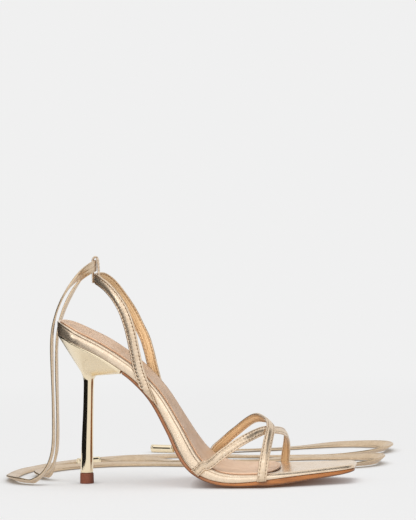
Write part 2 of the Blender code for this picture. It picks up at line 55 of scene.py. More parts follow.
def addCamera(look):
    yaw, elevation, roll = (radians(look[k]) for k in ("yaw", "elevation", "roll"))
    away = Vector((-sin(yaw) * cos(elevation), cos(yaw) * cos(elevation), -sin(elevation)))
    right = Quaternion(away, roll) @ Vector((cos(yaw), sin(yaw), 0))
    up = right.cross(away)
    data = bpy.data.cameras.new("camera")
    data.lens = look["lens"]
    data.clip_end = 50
    camera = bpy.data.objects.new("camera", data)
    bpy.context.scene.collection.objects.link(camera)
    turned = Matrix((right, up, -away)).transposed().to_4x4()
    place = Vector(look["aim"]) * mm - away * look["distance"]
    camera.matrix_world = Matrix.Translation(place) @ turned
    bpy.context.scene.camera = camera


addCamera(cameraLook)

# Tables are in millimetres, and are read by the distance along them.


def makeTable(rows, spots):
    at = [0.0]
    for a, b in zip(spots, spots[1:]):
        at.append(at[-1] + (b - a).length)
    return {"rows": rows, "at": at, "length": at[-1]}


def readTable(table, distance):  # a Hermite cubic in each column
    rows, at = table["rows"], table["at"]
    i = min(max(bisect_right(at, distance) - 1, 0), len(rows) - 2)
    lo, hi = max(i - 1, 0), min(i + 2, len(rows) - 1)
    span = at[i + 1] - at[i]
    t = (distance - at[i]) / span
    out = []
    for before, a, b, after in zip(rows[lo], rows[i], rows[i + 1], rows[hi]):
        slopeA = (b - before) / (at[i + 1] - at[lo]) * span
        slopeB = (after - a) / (at[hi] - at[i]) * span
        out.append(
            a * (1 + 2 * t) * (1 - t) ** 2
            + slopeA * t * (1 - t) ** 2
            + b * t * t * (3 - 2 * t)
            + slopeB * t * t * (t - 1)
        )
    return out


def evenSteps(length, spacing):
    count = ceil(length / spacing)
    return [length * i / count for i in range(count + 1)]


def smoothStep(low, high, value):
    t = min(max((value - low) / (high - low), 0.0), 1.0)
    return t * t * (3 - 2 * t)


meshLook = {"weld": 0.000001, "cut": 0.000002, "sharp": 50}  # m, m and degrees


def addMesh(name, verts, faces, materials, faceMaterials=None, seams=None, uvs=None):
    mesh = bpy.data.meshes.new(name)
    mesh.from_pydata(verts, [], faces)
    for material in materials:
        mesh.materials.append(material)
    if faceMaterials:
        mesh.polygons.foreach_set("material_index", faceMaterials)
    if seams:
        layer = mesh.attributes.new("seam", "FLOAT", "POINT")
        layer.data.foreach_set("value", seams)
    if uvs:
        layer = mesh.uv_layers.new(name="along")
        for loop in mesh.loops:
            layer.data[loop.index].uv = uvs[loop.vertex_index]
    work = bmesh.new()
    work.from_mesh(mesh)
    bmesh.ops.remove_doubles(work, verts=work.verts, dist=meshLook["weld"])
    finishMesh(work, mesh)
    obj = bpy.data.objects.new(name, mesh)
    bpy.context.scene.collection.objects.link(obj)
    return obj


def finishMesh(work, mesh):
    bmesh.ops.recalc_face_normals(work, faces=work.faces)
    work.to_mesh(mesh)
    work.free()
    mesh.shade_smooth()
    mesh.set_sharp_from_angle(angle=radians(meshLook["sharp"]))


def ringFaces(rows, count, first=0):  # strips between closed rings, and a cap on both ends
    faces = []
    for a in range(first, first + (rows - 1) * count, count):
        for k in range(count):
            m = (k + 1) % count
            faces.append((a + k, a + m, a + count + m, a + count + k))
    faces.append(tuple(first + k for k in reversed(range(count))))
    faces.append(tuple(first + (rows - 1) * count + k for k in range(count)))
    return faces


def place(obj, slot, *nodes):  # stands for CAD nodes, which it hides, and hangs under the root body
    if nodes:
        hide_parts(*nodes)
    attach(obj, "root")
    return obj


goldFoil = {
    "light": (0.90, 0.745, 0.58),
    "shade": (0.74, 0.57, 0.40),
    # dirt and painted shade, mixed in where the seam attribute is high
    "soilAndShade": (0.26, 0.15, 0.07),
    "metallic": 0.93,
    "roughness": 0.24,
    "pebble": 0.6,  # mm
    "wrinkle": 8.0,
    "depth": 0.06,
    "mottle": 1.0,  # how much the pebbles and creases show in the color, as painted shade in their hollows, and in the roughness
}
mirrorGold = {
    "color": (0.95, 0.81, 0.58),
    "roughness": 0.055,
    "satin": 0.2,  # added on the cup, whose buffing is softer
    "satinFrom": 73.0,  # mm above the floor
    "satinTo": 79.0,
}
liningLeather = {
    "light": (0.57, 0.39, 0.26),
    "shade": (0.49, 0.325, 0.21),
    # dirt and painted shade, mixed in where the seam attribute is high
    "soilAndShade": (0.22, 0.10, 0.05),
    "roughness": 0.46,
    "gloss": 0.5,
    "foiled": 0.0,
    "pore": 0.55,
    "depth": 0.05,
}
soleLeather = {
    "light": (0.31, 0.108, 0.021),
    "shade": (0.18, 0.058, 0.012),
    "waist": (0.17, 0.06, 0.017),  # darker where the sole turns up
    "waistFrom": 112.0,  # mm along x
    "waistTo": 88.0,
    # dirt and painted shade, mixed in where the seam attribute is high
    "soilAndShade": (0.05, 0.018, 0.008),
    "scuffed": (0.55, 0.27, 0.13),
}
rubber = {"light": (0.14, 0.040, 0.020), "shade": (0.08, 0.023, 0.012), "roughness": 0.6}
thread = {"color": (0.15, 0.07, 0.026), "roughness": 0.6}


def newGroup(name, inputs, outputs):  # a vector and numbers in, numbers out
    group = bpy.data.node_groups.new(name, "ShaderNodeTree")
    group.interface.new_socket("Vector", in_out="INPUT", socket_type="NodeSocketVector")
    for key, value in inputs.items():
        socket = group.interface.new_socket(key, in_out="INPUT", socket_type="NodeSocketFloat")
        socket.default_value = value
    for key in outputs:
        group.interface.new_socket(key, in_out="OUTPUT", socket_type="NodeSocketFloat")
    start = group.nodes.new("NodeGroupInput").outputs
    return group, start, group.nodes.new("NodeGroupOutput").inputs


def addNode(tree, kind, links=None, **settings):
    node = tree.nodes.new(kind)
    for key, value in settings.items():
        setattr(node, key, value)
    for key, value in (links or {}).items():
        socket = node.inputs[key]
        if isinstance(value, bpy.types.NodeSocket):
            tree.links.new(value, socket)
        else:
            socket.default_value = value
    return node


def useGroup(tree, group, links):
    return addNode(tree, "ShaderNodeGroup", links, node_tree=group).outputs


def mixColors(tree, factor, a, b):
    a, b = (v if isinstance(v, bpy.types.NodeSocket) else (*v, 1) for v in (a, b))
    return addNode(tree, "ShaderNodeMix", {0: factor, 6: a, 7: b}, data_type="RGBA").outputs[2]


def calc(tree, operation, a, b=0.0, c=0.0):
    return addNode(tree, "ShaderNodeMath", {0: a, 1: b, 2: c}, operation=operation).outputs[0]


def spread(tree, value, low, high, outLow=0.0, outHigh=1.0):
    settings = {0: value, 1: low, 2: high, 3: outLow, 4: outHigh}
    return addNode(tree, "ShaderNodeMapRange", settings).outputs[0]


def addNoise(tree, vector, scale, detail, **others):
    links = {"Vector": vector, "Scale": scale, "Detail": detail, **others}
    return addNode(tree, "ShaderNodeTexNoise", links).outputs[0]


def stretched(tree, vector, scale):
    return addNode(tree, "ShaderNodeMapping", {"Vector": vector, "Scale": scale}).outputs[0]


def partOf(tree, vector, axis):  # 0, 1 and 2 are x, y and z
    return addNode(tree, "ShaderNodeSeparateXYZ", {0: vector}).outputs[axis]


def makeFoilCrinkle():  # foil on leather: pebbles, fine creases and slow waves
    sizes = {"Pebble Size": 0.8, "Wrinkle Size": 6.0}  # mm
    group, start, end = newGroup("foil crinkle", sizes, ["Height", "Tone"])
    where = start["Vector"]
    pebbleScale = calc(group, "DIVIDE", 1000.0, start["Pebble Size"])
    wrinkleScale = calc(group, "DIVIDE", 1000.0, start["Wrinkle Size"])
    warp = addNoise(group, where, wrinkleScale, 2.0)
    links = {"Vector": where, "Scale": pebbleScale}
    pebble = addNode(group, "ShaderNodeTexVoronoi", links, feature="SMOOTH_F1").outputs[0]
    creases = addNoise(group, where, wrinkleScale, 5.0, Roughness=0.62, Distortion=0.9)
    ridge = calc(group, "ABSOLUTE", calc(group, "SUBTRACT", creases, 0.5))
    crease = spread(group, ridge, 0.0, 0.09)
    folded = calc(group, "MULTIPLY_ADD", crease, 0.35, calc(group, "MULTIPLY", warp, 1.6))
    height = calc(group, "SUBTRACT", folded, calc(group, "MULTIPLY", pebble, 0.55))
    group.links.new(height, end["Height"])
    # Tone is painted shade: darker in the creases and where the pebbles dip
    tone = calc(group, "MULTIPLY_ADD", calc(group, "SUBTRACT", 1.0, crease), 0.45, pebble)
    group.links.new(calc(group, "MINIMUM", tone, 1.0), end["Tone"])
    return group


def makeLeatherPores():  # small pores and soft creases of unfoiled leather
    group, start, end = newGroup("leather pores", {"Pore Size": 0.5}, ["Height", "Tone"])
    scale = calc(group, "DIVIDE", 1000.0, start["Pore Size"])
    links = {"Vector": start["Vector"], "Scale": scale}
    cells = addNode(group, "ShaderNodeTexVoronoi", links, feature="DISTANCE_TO_EDGE").outputs[0]
    broad = addNoise(group, start["Vector"], 90.0, 4.0, Roughness=0.6)
    pits = spread(group, cells, 0.0, 0.16)
    height = calc(group, "MULTIPLY_ADD", pits, 0.5, calc(group, "MULTIPLY", broad, 1.4))
    group.links.new(height, end["Height"])
    group.links.new(spread(group, broad, 0.3, 0.72), end["Tone"])
    return group


def makeSeamSoilAndShade():  # dirt and shade that gather where the seam attribute is high
    group, start, end = newGroup("seam soil", {"Amount": 1.0}, ["Mask"])
    seam = addNode(group, "ShaderNodeAttribute", attribute_name="seam").outputs["Fac"]
    speckle = addNoise(group, start["Vector"], 700.0, 3.0)
    mask = calc(group, "MULTIPLY", seam, spread(group, speckle, 0.3, 0.7, 0.55, 1.0))
    group.links.new(calc(group, "MULTIPLY", mask, start["Amount"]), end["Mask"])
    return group


def makeStreaks():  # fine marks drawn out along the axes of the vector that comes in
    sizes = {"X": 1.0, "Y": 1.0, "Z": 1.0, "Detail": 3.0}
    group, start, end = newGroup("streaks", sizes, ["Lines"])
    scale = addNode(group, "ShaderNodeCombineXYZ", {key: start[key] for key in "XYZ"})
    drawn = stretched(group, start["Vector"], scale.outputs[0])
    group.links.new(addNoise(group, drawn, 1.0, start["Detail"]), end["Lines"])
    return group


def makeHandlingMarks():  # faint smudges and hairline scratches on plating
    group, start, end = newGroup("handling marks", {}, ["Mask"])
    smudge = addNoise(group, start["Vector"], 70.0, 3.0, Distortion=0.6)
    hair = addStreaks(group, start["Vector"], (900.0, 900.0, 60.0), 2.0)
    smudges = spread(group, smudge, 0.52, 0.8, 0.0, 0.6)
    mask = calc(group, "MAXIMUM", smudges, spread(group, hair, 0.64, 0.78))
    group.links.new(mask, end["Mask"])
    return group


def addStreaks(tree, vector, scale, detail):
    x, y, z = scale
    links = {"Vector": vector, "X": x, "Y": y, "Z": z, "Detail": detail}
    return useGroup(tree, streaks, links)["Lines"]


foilCrinkle = makeFoilCrinkle()
leatherPores = makeLeatherPores()
seamSoilAndShade = makeSeamSoilAndShade()
streaks = makeStreaks()
handlingMarks = makeHandlingMarks()


def newMaterial(name, settings):
    material = bpy.data.materials.new(name)
    material.use_nodes = True
    tree = material.node_tree
    shader = tree.nodes["Principled BSDF"].inputs
    for key, value in settings.items():
        shader[key].default_value = value
    where = addNode(tree, "ShaderNodeTexCoord").outputs["Object"]
    return material, tree, shader, where


def colorSurface(tree, shader, color, tone, low, high):  # roughness goes from low to high
    tree.links.new(color, shader["Base Color"])
    tree.links.new(spread(tree, tone, 0.0, 1.0, low, high), shader["Roughness"])


def addBump(tree, shader, height, distance):
    bump = addNode(tree, "ShaderNodeBump", {"Height": height, "Distance": distance * mm})
    tree.links.new(bump.outputs[0], shader["Normal"])


# mixes in dirt and painted shade where the seam attribute is high
def addSoilAndShade(tree, where, amount, clean, soiledAndShaded):
    soilAndShade = useGroup(tree, seamSoilAndShade, {"Vector": where, "Amount": amount})
    return mixColors(tree, soilAndShade["Mask"], clean, soiledAndShaded)


def addLengthLines(tree):  # fine lines that run along a strap or a tie
    along = addNode(tree, "ShaderNodeUVMap", uv_map="along").outputs[0]
    return addStreaks(tree, along, (1.9, 0.02, 1.0), 3.0)


def makeGoldLeather(name, look, lengthLines=0.0):
    settings = {"Metallic": look["metallic"], "Specular IOR Level": 0.5}
    material, tree, shader, where = newMaterial(name, settings)
    sizes = {"Pebble Size": look["pebble"], "Wrinkle Size": look["wrinkle"]}
    crinkle = useGroup(tree, foilCrinkle, {"Vector": where, **sizes})
    tone, height = crinkle["Tone"], crinkle["Height"]
    if lengthLines:
        lines = addLengthLines(tree)
        height = calc(tree, "MULTIPLY_ADD", lines, lengthLines, height)
        tone = calc(tree, "MULTIPLY_ADD", lines, 0.5, calc(tree, "MULTIPLY", tone, 0.6))
    grainAndHollowShade = calc(tree, "MULTIPLY", tone, look["mottle"])
    foil = mixColors(tree, grainAndHollowShade, look["light"], look["shade"])
    color = addSoilAndShade(tree, where, 0.85, foil, look["soilAndShade"])
    rough = look["roughness"]
    colorSurface(tree, shader, color, tone, rough - 0.05, rough + 0.16 * look["mottle"])
    addBump(tree, shader, height, look["depth"])
    return material


def makeLining(name, look, lengthLines=0.0):
    settings = {"Specular IOR Level": look["gloss"], "Metallic": look["foiled"]}
    material, tree, shader, where = newMaterial(name, settings)
    pores = useGroup(tree, leatherPores, {"Vector": where, "Pore Size": look["pore"]})
    tone, height = pores["Tone"], pores["Height"]
    if lengthLines:
        lines = addLengthLines(tree)
        height = calc(tree, "MULTIPLY_ADD", lines, lengthLines, height)
        faint = calc(tree, "MULTIPLY", tone, 0.3)
        tone = calc(tree, "ADD", spread(tree, lines, 0.38, 0.62), faint)
    plain = mixColors(tree, tone, look["light"], look["shade"])
    color = addSoilAndShade(tree, where, 0.9, plain, look["soilAndShade"])
    colorSurface(tree, shader, color, tone, look["roughness"] - 0.06, look["roughness"] + 0.12)
    addBump(tree, shader, height, look["depth"])
    return material


def makeSoleEdge(name, look):  # stained and waxed in thin layers
    settings = {"Coat Weight": 0.35, "Coat Roughness": 0.22}
    material, tree, shader, where = newMaterial(name, settings)
    grain = addStreaks(tree, where, (60.0, 60.0, 900.0), 4.0)
    tone = spread(tree, grain, 0.35, 0.68)
    stained = mixColors(tree, tone, look["light"], look["shade"])
    low, high = look["waistFrom"] * mm, look["waistTo"] * mm
    turned = spread(tree, partOf(tree, where, 0), low, high)
    # darker where the sole turns up, set by x
    stained = mixColors(tree, turned, stained, look["waist"])
    color = addSoilAndShade(tree, where, 0.9, stained, look["soilAndShade"])
    colorSurface(tree, shader, color, tone, 0.3, 0.5)
    addBump(tree, shader, grain, 0.06)
    return material


def makeTread(name, look):  # the underside: dull leather with fine scuffs along the foot
    material, tree, shader, where = newMaterial(name, {"Specular IOR Level": 0.3})
    pores = useGroup(tree, leatherPores, {"Vector": where, "Pore Size": 0.7})
    scuff = addStreaks(tree, where, (60.0, 800.0, 60.0), 4.0)
    worn = spread(tree, scuff, 0.5, 0.75)
    plain = mixColors(tree, pores["Tone"], look["light"], look["shade"])
    color = mixColors(tree, calc(tree, "MULTIPLY", worn, 0.4), plain, look["scuffed"])
    colorSurface(tree, shader, color, worn, 0.42, 0.68)
    addBump(tree, shader, pores["Height"], 0.05)
    return material


def makePlating(name, look):
    material, tree, shader, where = newMaterial(name, {"Metallic": 1.0})
    mask = useGroup(tree, handlingMarks, {"Vector": where})["Mask"]
    shade = tuple(v * 0.92 for v in look["color"])
    tree.links.new(mixColors(tree, mask, look["color"], shade), shader["Base Color"])
    low, high = look["satinFrom"] * mm, look["satinTo"] * mm
    satin = spread(tree, partOf(tree, where, 2), low, high, 0.0, look["satin"])
    rough = spread(tree, mask, 0.0, 1.0, look["roughness"], look["roughness"] + 0.09)
    tree.links.new(calc(tree, "ADD", rough, satin), shader["Roughness"])
    return material


def makeRubber(name, look):
    material, tree, shader, where = newMaterial(name, {"Specular IOR Level": 0.4})
    grit = addNoise(tree, where, 2600.0, 3.0)
    tone = spread(tree, grit, 0.35, 0.65)
    color = mixColors(tree, tone, look["light"], look["shade"])
    colorSurface(tree, shader, color, tone, look["roughness"] - 0.08, look["roughness"] + 0.1)
    addBump(tree, shader, grit, 0.07)
    return material


def makeThread(name, look):
    material, tree, shader, where = newMaterial(name, {"Specular IOR Level": 0.3})
    links = {"Vector": where, "Scale": 900.0, "Distortion": 1.5}
    twist = addNode(tree, "ShaderNodeTexWave", links).outputs["Fac"]
    color = mixColors(tree, twist, look["color"], tuple(v * 0.6 for v in look["color"]))
    colorSurface(tree, shader, color, twist, look["roughness"] - 0.08, look["roughness"] + 0.12)
    addBump(tree, shader, twist, 0.03)
    return material


goldLeather = makeGoldLeather("gold leather", goldFoil)
tightLeather = makeGoldLeather(
    "gold leather drawn tight", {**goldFoil, "depth": 0.012, "mottle": 0.6, "roughness": 0.25}
)
tieFoil = {**goldFoil, "light": (0.80, 0.64, 0.46), "shade": (0.62, 0.46, 0.30), "depth": 0.07}
tieLeather = makeGoldLeather("gold tie leather", tieFoil, lengthLines=0.5)
sockLeather = makeLining("sock lining", liningLeather)
innerLeather = {
    "light": (0.74, 0.51, 0.29),
    "shade": (0.42, 0.25, 0.115),
    "roughness": 0.4,
    "foiled": 0.35,
}
strapLining = makeLining("strap lining", {**liningLeather, **innerLeather}, lengthLines=0.8)
cutEdge = makeLining(
    "cut edge", {**liningLeather, "light": (0.40, 0.23, 0.13), "shade": (0.30, 0.16, 0.09)}
)
soleEdge = makeSoleEdge("waxed sole edge", soleLeather)
tread = makeTread("tread", soleLeather)
plating = makePlating("gold plating", mirrorGold)
tipRubber = makeRubber("heel tip rubber", rubber)
stitchThread = makeThread("stitch thread", thread)
liningThread = makeThread("lining thread", {**thread, "color": (0.30, 0.17, 0.075)})
print("finishes made")


strapSpacing = 0.65  # mm between a strap's sections


def routeFrames(rows, spots, readRow):  # readRow gives the place, out and tilt
    table = makeTable(rows, spots)
    steps = evenSteps(table["length"], strapSpacing)
    return strapFrames(*zip(*(readRow(*readTable(table, d)) for d in steps)))


def strapFrames(centres, outs, tilts):  # place, along, across, out and distance of each
    frames = []
    distance = 0.0
    for i, centre in enumerate(centres):
        before, after = centres[max(i - 1, 0)], centres[min(i + 1, len(centres) - 1)]
        along = (after - before).normalized()
        across = Quaternion(along, tilts[i]) @ along.cross(outs[i]).normalized()
        frames.append((centre, along, across, across.cross(along), distance))
        if i + 1 < len(centres):
            distance += (centres[i + 1] - centre).length
    return frames


def addStrap(name, frames, section, materials):
    # section(index of the frame) gives (across, out, material, seam) all round, in mm
    verts, seams, uvs, faceMaterials = [], [], [], []
    for i, (centre, _, across, out, distance) in enumerate(frames):
        ring = section(i)
        for u, v, material, seam in ring:
            verts.append((centre + across * u + out * v) * mm)
            seams.append(seam)
            uvs.append((u, distance))
            if i:
                faceMaterials.append(material)
    faces = ringFaces(len(frames), len(ring))
    return addMesh(name, verts, faces, materials, faceMaterials + [0, 0], seams, uvs)


def addLoft(name, rings, material):
    verts = [point * mm for ring in rings for point in ring]
    return addMesh(name, verts, ringFaces(len(rings), len(rings[0])), [material])


def paddedSection(look, puff, pucker=0.0):
    # a folded strap: outer face puffed between two stitched valleys, lining inside; the seam
    # values darken the valleys and edges with dirt and painted shade
    w, h, s = look["width"] / 2, look["thickness"] / 2, look["stitchInset"]
    border = look["border"]
    outer = [
        (-w, 0.05, 0.25),
        (-w + 0.07, h * 0.48 - pucker * 0.2, 0.1),
        (-w + 0.28, h * 0.80 - pucker * 0.5, 0.0),
        (-w + s * 0.62, h * 0.92 - pucker * 0.8, 0.0),
        (-w + s * 0.86, h * 0.84 - pucker, 0.15),
        (-w + s, h * 0.70 - pucker, 0.35),
        (-w + s * 1.14, h * 0.84 - pucker, 0.15),
        (-w + s * 1.5, h * 1.0 - pucker * 0.9, 0.0),
        (-w * 0.32, h + puff * 0.75 - pucker * 0.4, 0.0),
        (0.0, h + puff - pucker * 0.15, 0.0),
    ]
    outer += [(-u, v, seam) for u, v, seam in reversed(outer[:-1])]
    inner = [
        (w - 0.07, -h * 0.45, 0.25),
        (w - 0.3, -h * 0.82, 0.1),
        (w - border, -h * 0.94, 0.1),
        (w - border - 0.05, -h * 0.80, 0.5),
        (w - border - 0.3, -h * 0.78, 0.1),
        (w - s - 0.15, -h * 0.62, 0.6),
        (w - s - 0.55, -h * 0.84, 0.15),
        (w * 0.3, -h * 1.0, 0.0),
    ]
    inner += [(-u, v, seam) for u, v, seam in reversed(inner)]
    ring = [(u, v, 0, seam) for u, v, seam in outer]
    lining = range(3, len(inner) - 4)
    return ring + [(u, v, int(i in lining), seam) for i, (u, v, seam) in enumerate(inner)]


stitches = {
    "pitch": 2.5,
    "length": 1.5,
    "radius": 0.24,
    "sunk": 0.30,  # how far the ends of a stitch pull in
    "taper": 0.45,
    "liningPart": 0.8,  # finer on the lining
    "around": 8,
    "rings": 5,
}


def addStitches(name, runs, look):
    # each run is (frames, across, out, start, end): a row of raised stitches along a strap
    around, rings = look["around"], look["rings"]
    verts, faces, faceMaterials = [], [], []
    for frames, across, out, start, end in runs:
        inside = out < 0
        radius = look["radius"] * (look["liningPart"] if inside else 1.0)
        ticks = [frame[4] for frame in frames]
        count = int((end - start) / look["pitch"])
        for n in range(count):
            faces += ringFaces(rings, around, len(verts))
            middle = start + (n + 0.5) * (end - start) / count
            for j in range(rings):
                t = j / (rings - 1) * 2 - 1
                d = middle + t * look["length"] / 2
                i = min(max(bisect_right(ticks, d) - 1, 0), len(frames) - 2)
                mix = (d - ticks[i]) / (ticks[i + 1] - ticks[i])
                near, far = frames[i], frames[i + 1]
                centre, side, up = (near[part].lerp(far[part], mix) for part in (0, 2, 3))
                side.normalize()
                up.normalize()
                thick = radius * (1 - look["taper"] * t * t)
                rise = out - (look["sunk"] * abs(t) ** 3) * (-1 if inside else 1)
                spot = centre + side * across + up * rise
                for k in range(around):
                    angle = 2 * pi * k / around
                    point = spot + side * thick * cos(angle) + up * thick * sin(angle)
                    verts.append(point * mm)
            faceMaterials += [int(inside)] * ((rings - 1) * around + 2)
    return addMesh(name, verts, faces, [stitchThread, liningThread], faceMaterials)


tie = {
    "width": 8.0,
    "thickness": 1.5,
    "floor": 0.9,  # height of the middle line when it lies flat
    "gathered": 4.4,  # width where it enters the aglet
    "gatherLength": 16.0,
    "gatherThin": 0.2,  # part of the thickness lost, and depth of the pleats
    "gatherPleat": 0.75,
    "layHeight": 16,  # it turns to lie flat over this height above the floor
    "lean": 3.4,  # how far it leans out of its bends on the floor
    "leanChord": 3,  # sections on each side that a bend is measured over
    "leanArea": 20,  # about the two chords' product, in mm2
    "lengths": {"lateral": 0.766, "medial": 0.731},  # m
    "eye": (9.6, 0.0, 154.7),
    "spacing": 1.5,  # of the sections
    "sway": 7,  # degrees that the hanging part turns to and fro
    "swayScale": 0.021,
    "laidSway": 0.65,  # part of the sway that is gone where it lies flat
    "tiltFade": (4, 26),  # mm from the eye, over which all tilts set in
    "wave": 0.3,  # slack that lifts it off the floor
    "waveScale": 0.03,
    "endFade": 24,  # mm before the aglet, over which it comes back down
}
tieFall = [  # from the eye over the back of the seat and down, mirrored for the lateral end
    (9.6, 0.15, 154.7), (9.3, 7.4, 154.5), (7.6, 14.0, 153.6), (3.6, 19.8, 151.0),
    (-1.8, 23.2, 146.4), (-7.4, 24.0, 139.8), (-12.4, 22.4, 131.6), (-16.6, 19.4, 122.2),
    (-19.6, 15.8, 112.0), (-21.0, 12.8, 101.0), (-21.4, 10.8, 87.0), (-21.4, 10.0, 66.0),
    (-21.4, 10.0, 46.0), (-21.7, 10.0, 32.0),
]
tieFloor = {
    "lateral": [
        (-23.4, -10.0, 20.6), (-27.4, -10.0, 11.4), (-33.6, -9.4, 4.6), (-41.0, -7.2, 1.4),
        (-48.4, -2.0, 0.9), (-54.2, 7.0, 0.9), (-57.4, 20.0, 0.9), (-57.4, 42.0, 0.9),
        (-51.6, 68.0, 0.9), (-37.6, 96.0, 0.9), (-16.0, 120.0, 0.9), (12.0, 137.0, 0.9),
        (44.0, 145.0, 0.9), (78.0, 145.0, 0.9), (112.0, 140.0, 0.9), (146.0, 139.0, 0.9),
        (174.0, 144.0, 0.9), (194.0, 154.0, 0.9), (205.0, 171.0, 0.9), (203.0, 189.0, 0.9),
        (189.0, 201.0, 0.9), (166.0, 204.0, 0.9), (138.0, 195.0, 0.9), (108.0, 183.0, 0.9),
        (80.0, 175.0, 0.9), (54.0, 175.0, 1.5), (42.0, 178.0, 3.0),
    ],
    "medial": [
        (-22.9, 11.0, 20.8), (-25.8, 13.8, 11.6), (-30.2, 18.4, 4.8), (-35.2, 24.6, 1.4),
        (-39.4, 33.0, 0.9), (-41.0, 45.0, 0.9), (-37.6, 61.0, 0.9), (-26.4, 77.0, 0.9),
        (-6.0, 90.0, 0.9), (20.0, 96.0, 0.9), (52.0, 94.0, 0.9), (84.0, 86.0, 0.9),
        (116.0, 77.0, 0.9), (148.0, 71.0, 0.9), (177.0, 73.0, 0.9), (196.0, 82.0, 0.9),
        (204.0, 97.0, 0.9), (199.0, 112.0, 0.9), (184.0, 121.0, 0.9), (160.0, 125.0, 0.9),
        (132.0, 122.0, 0.9), (104.0, 111.0, 0.9), (76.0, 106.0, 0.9), (48.0, 114.0, 0.9),
        (22.0, 122.0, 0.9), (4.0, 117.0, 1.5), (-6.0, 110.0, 3.0),
    ],
}
aglet = {"radius": 2.9, "length": 18.0, "gap": 0.3, "wall": 0.45, "around": 48}


def tieSection(width, thickness, fold):
    # flat folded strap; fold pleats it lengthwise where it is gathered, and darkens the pleats as
    # painted shade
    w, h = width / 2, thickness / 2
    outer = [(-1.0, 0.0, 0.1), (-0.985, 0.55, 0.0), (-0.93, 0.9, 0.0), (-0.82, 0.98, 0.0)]
    outer += [(-0.765, 0.9, 0.3), (-0.735, 0.82, 0.55), (-0.705, 0.9, 0.3)]
    outer += [(-0.6, 1.0, 0.0), (-0.3, 1.04, 0.0), (0.0, 1.05, 0.0)]
    outer += [(-u, v, seam) for u, v, seam in reversed(outer[:-1])]
    inner = [(0.985, -0.55, 0.0), (0.93, -0.9, 0.0), (0.735, -0.86, 0.35), (0.5, -1.0, 0.0)]
    inner += [(0.07, -1.0, 0.0), (0.0, -0.8, 0.8), (-0.07, -1.0, 0.0)]
    inner += [(-u, v, seam) for u, v, seam in reversed(inner[:4])]
    ring = []
    for u, v, seam in outer + inner:
        pleat = fold * cos(u * pi * 1.5) * 0.9
        ring.append((u * w, v * h + pleat, 0, min(1.0, seam + fold * 0.3)))
    return ring


def averaged(values, reach):  # a running mean that leaves both ends in place
    out = []
    for i in range(len(values)):
        near = min(reach, i, len(values) - 1 - i)
        window = values[i - near : i + near + 1]
        out.append(sum(window[1:], window[0]) / len(window))
    return out


def addTie(side, look):
    sign = 1 if side == "medial" else -1
    rows = [(x, y * sign, z) for x, y, z in tieFall] + tieFloor[side]
    table = makeTable(rows, [Vector(row) for row in rows])
    steps = evenSteps(table["length"], look["spacing"])
    centres = averaged([Vector(readTable(table, d)) for d in steps], 4)
    count = len(centres)
    lyings = [1 - smoothStep(0, look["layHeight"], c.z - look["floor"]) for c in centres]
    turns = []
    chord = look["leanChord"]
    for i, c in enumerate(centres):
        a, b = centres[max(i - chord, 0)], centres[min(i + chord, count - 1)]
        turns.append((b - c).cross(c - a).z / look["leanArea"] * lyings[i])
    turns = averaged(averaged(turns, 9), 7)
    outs, tilts = [], []
    for d, c, lying, turn in zip(steps, centres, lyings, turns):
        sway = noise.noise(Vector((d * look["swayScale"], sign * 3.1, 0.0)))
        tilt = look["lean"] * turn + radians(look["sway"]) * sway * (1 - look["laidSway"] * lying)
        tilts.append(tilt * smoothStep(*look["tiltFade"], d))
        outs.append(Vector((-1, 0, 0)).lerp(Vector((0, 0, 1)), lying).normalized())
    for i, c in enumerate(centres):
        d, lying = steps[i], lyings[i]
        slack = noise.noise(Vector((d * look["waveScale"], sign * 7.7, 1.0)))
        wave = look["wave"] * (1 + slack) * lying
        level = look["floor"] + abs(sin(tilts[i])) * look["width"] / 2 * lying + wave
        fade = smoothStep(0, look["endFade"], table["length"] - d)
        c.z += max(level - c.z, 0) * lying * fade
    frames = strapFrames(centres, outs, tilts)
    length = frames[-1][4]

    def section(i):
        gather = 1 - smoothStep(0, look["gatherLength"], length - frames[i][4])
        width = look["width"] + (look["gathered"] - look["width"]) * gather
        thickness = look["thickness"] * (1 - look["gatherThin"] * gather)
        return tieSection(width, thickness, look["gatherPleat"] * gather)

    strap = addStrap("tie_strap_" + side, frames, section, [tieLeather])
    strap.visible_glossy = False  # the plating reflects the plain studio
    place(strap, "tie_" + side, "tie_" + side)
    along = (Vector(rows[-1]) - Vector(readTable(table, table["length"] - 4.0))).normalized()
    along.z = 0
    tube = addAglet("aglet_tube_" + side, centres[-1], along.normalized(), aglet)
    place(tube, "aglet_" + side, "aglet_" + side)


def addAglet(name, mouth, along, look):
    r, length, wall = look["radius"], look["length"], look["wall"]
    profile = [  # (distance from the mouth, radius): in at the mouth, over the tube, into the cap
        (2.5, 0.0), (2.2, r - wall - 0.15), (0.35, r - wall), (0.08, r - wall + 0.1),
        (0.0, r - 0.25), (0.06, r - 0.06), (0.3, r), (0.9, r), (1.05, r - 0.12), (1.25, r - 0.12),
        (1.4, r - 0.02), (2.2, r - 0.02), (8.0, r - 0.05), (length - 2.0, r - 0.02),
        (length - 1.5, r - 0.02), (length - 1.35, r - 0.12), (length - 1.15, r - 0.12),
        (length - 1.0, r), (length - 0.3, r), (length - 0.05, r - 0.1), (length, r - 0.35),
        (length - 0.08, r - 0.6), (length - 0.5, r - 0.8), (length - 0.55, 0.0),
    ]
    side = along.cross(Vector((0, 0, 1))).normalized()
    up = side.cross(along)
    angles = [2 * pi * k / look["around"] for k in range(look["around"])]
    spokes = [side * cos(angle) + up * sin(angle) for angle in angles]
    start = mouth + along * look["gap"]
    start.z = max(start.z, r + 0.1)
    rings = []
    for d, radius in profile:
        rings.append([start + along * d + spoke * max(radius, 0.01) for spoke in spokes])
    return addLoft(name, rings, plating)


for side in ("lateral", "medial"):
    addTie(side, tie)
print("ties laid out")

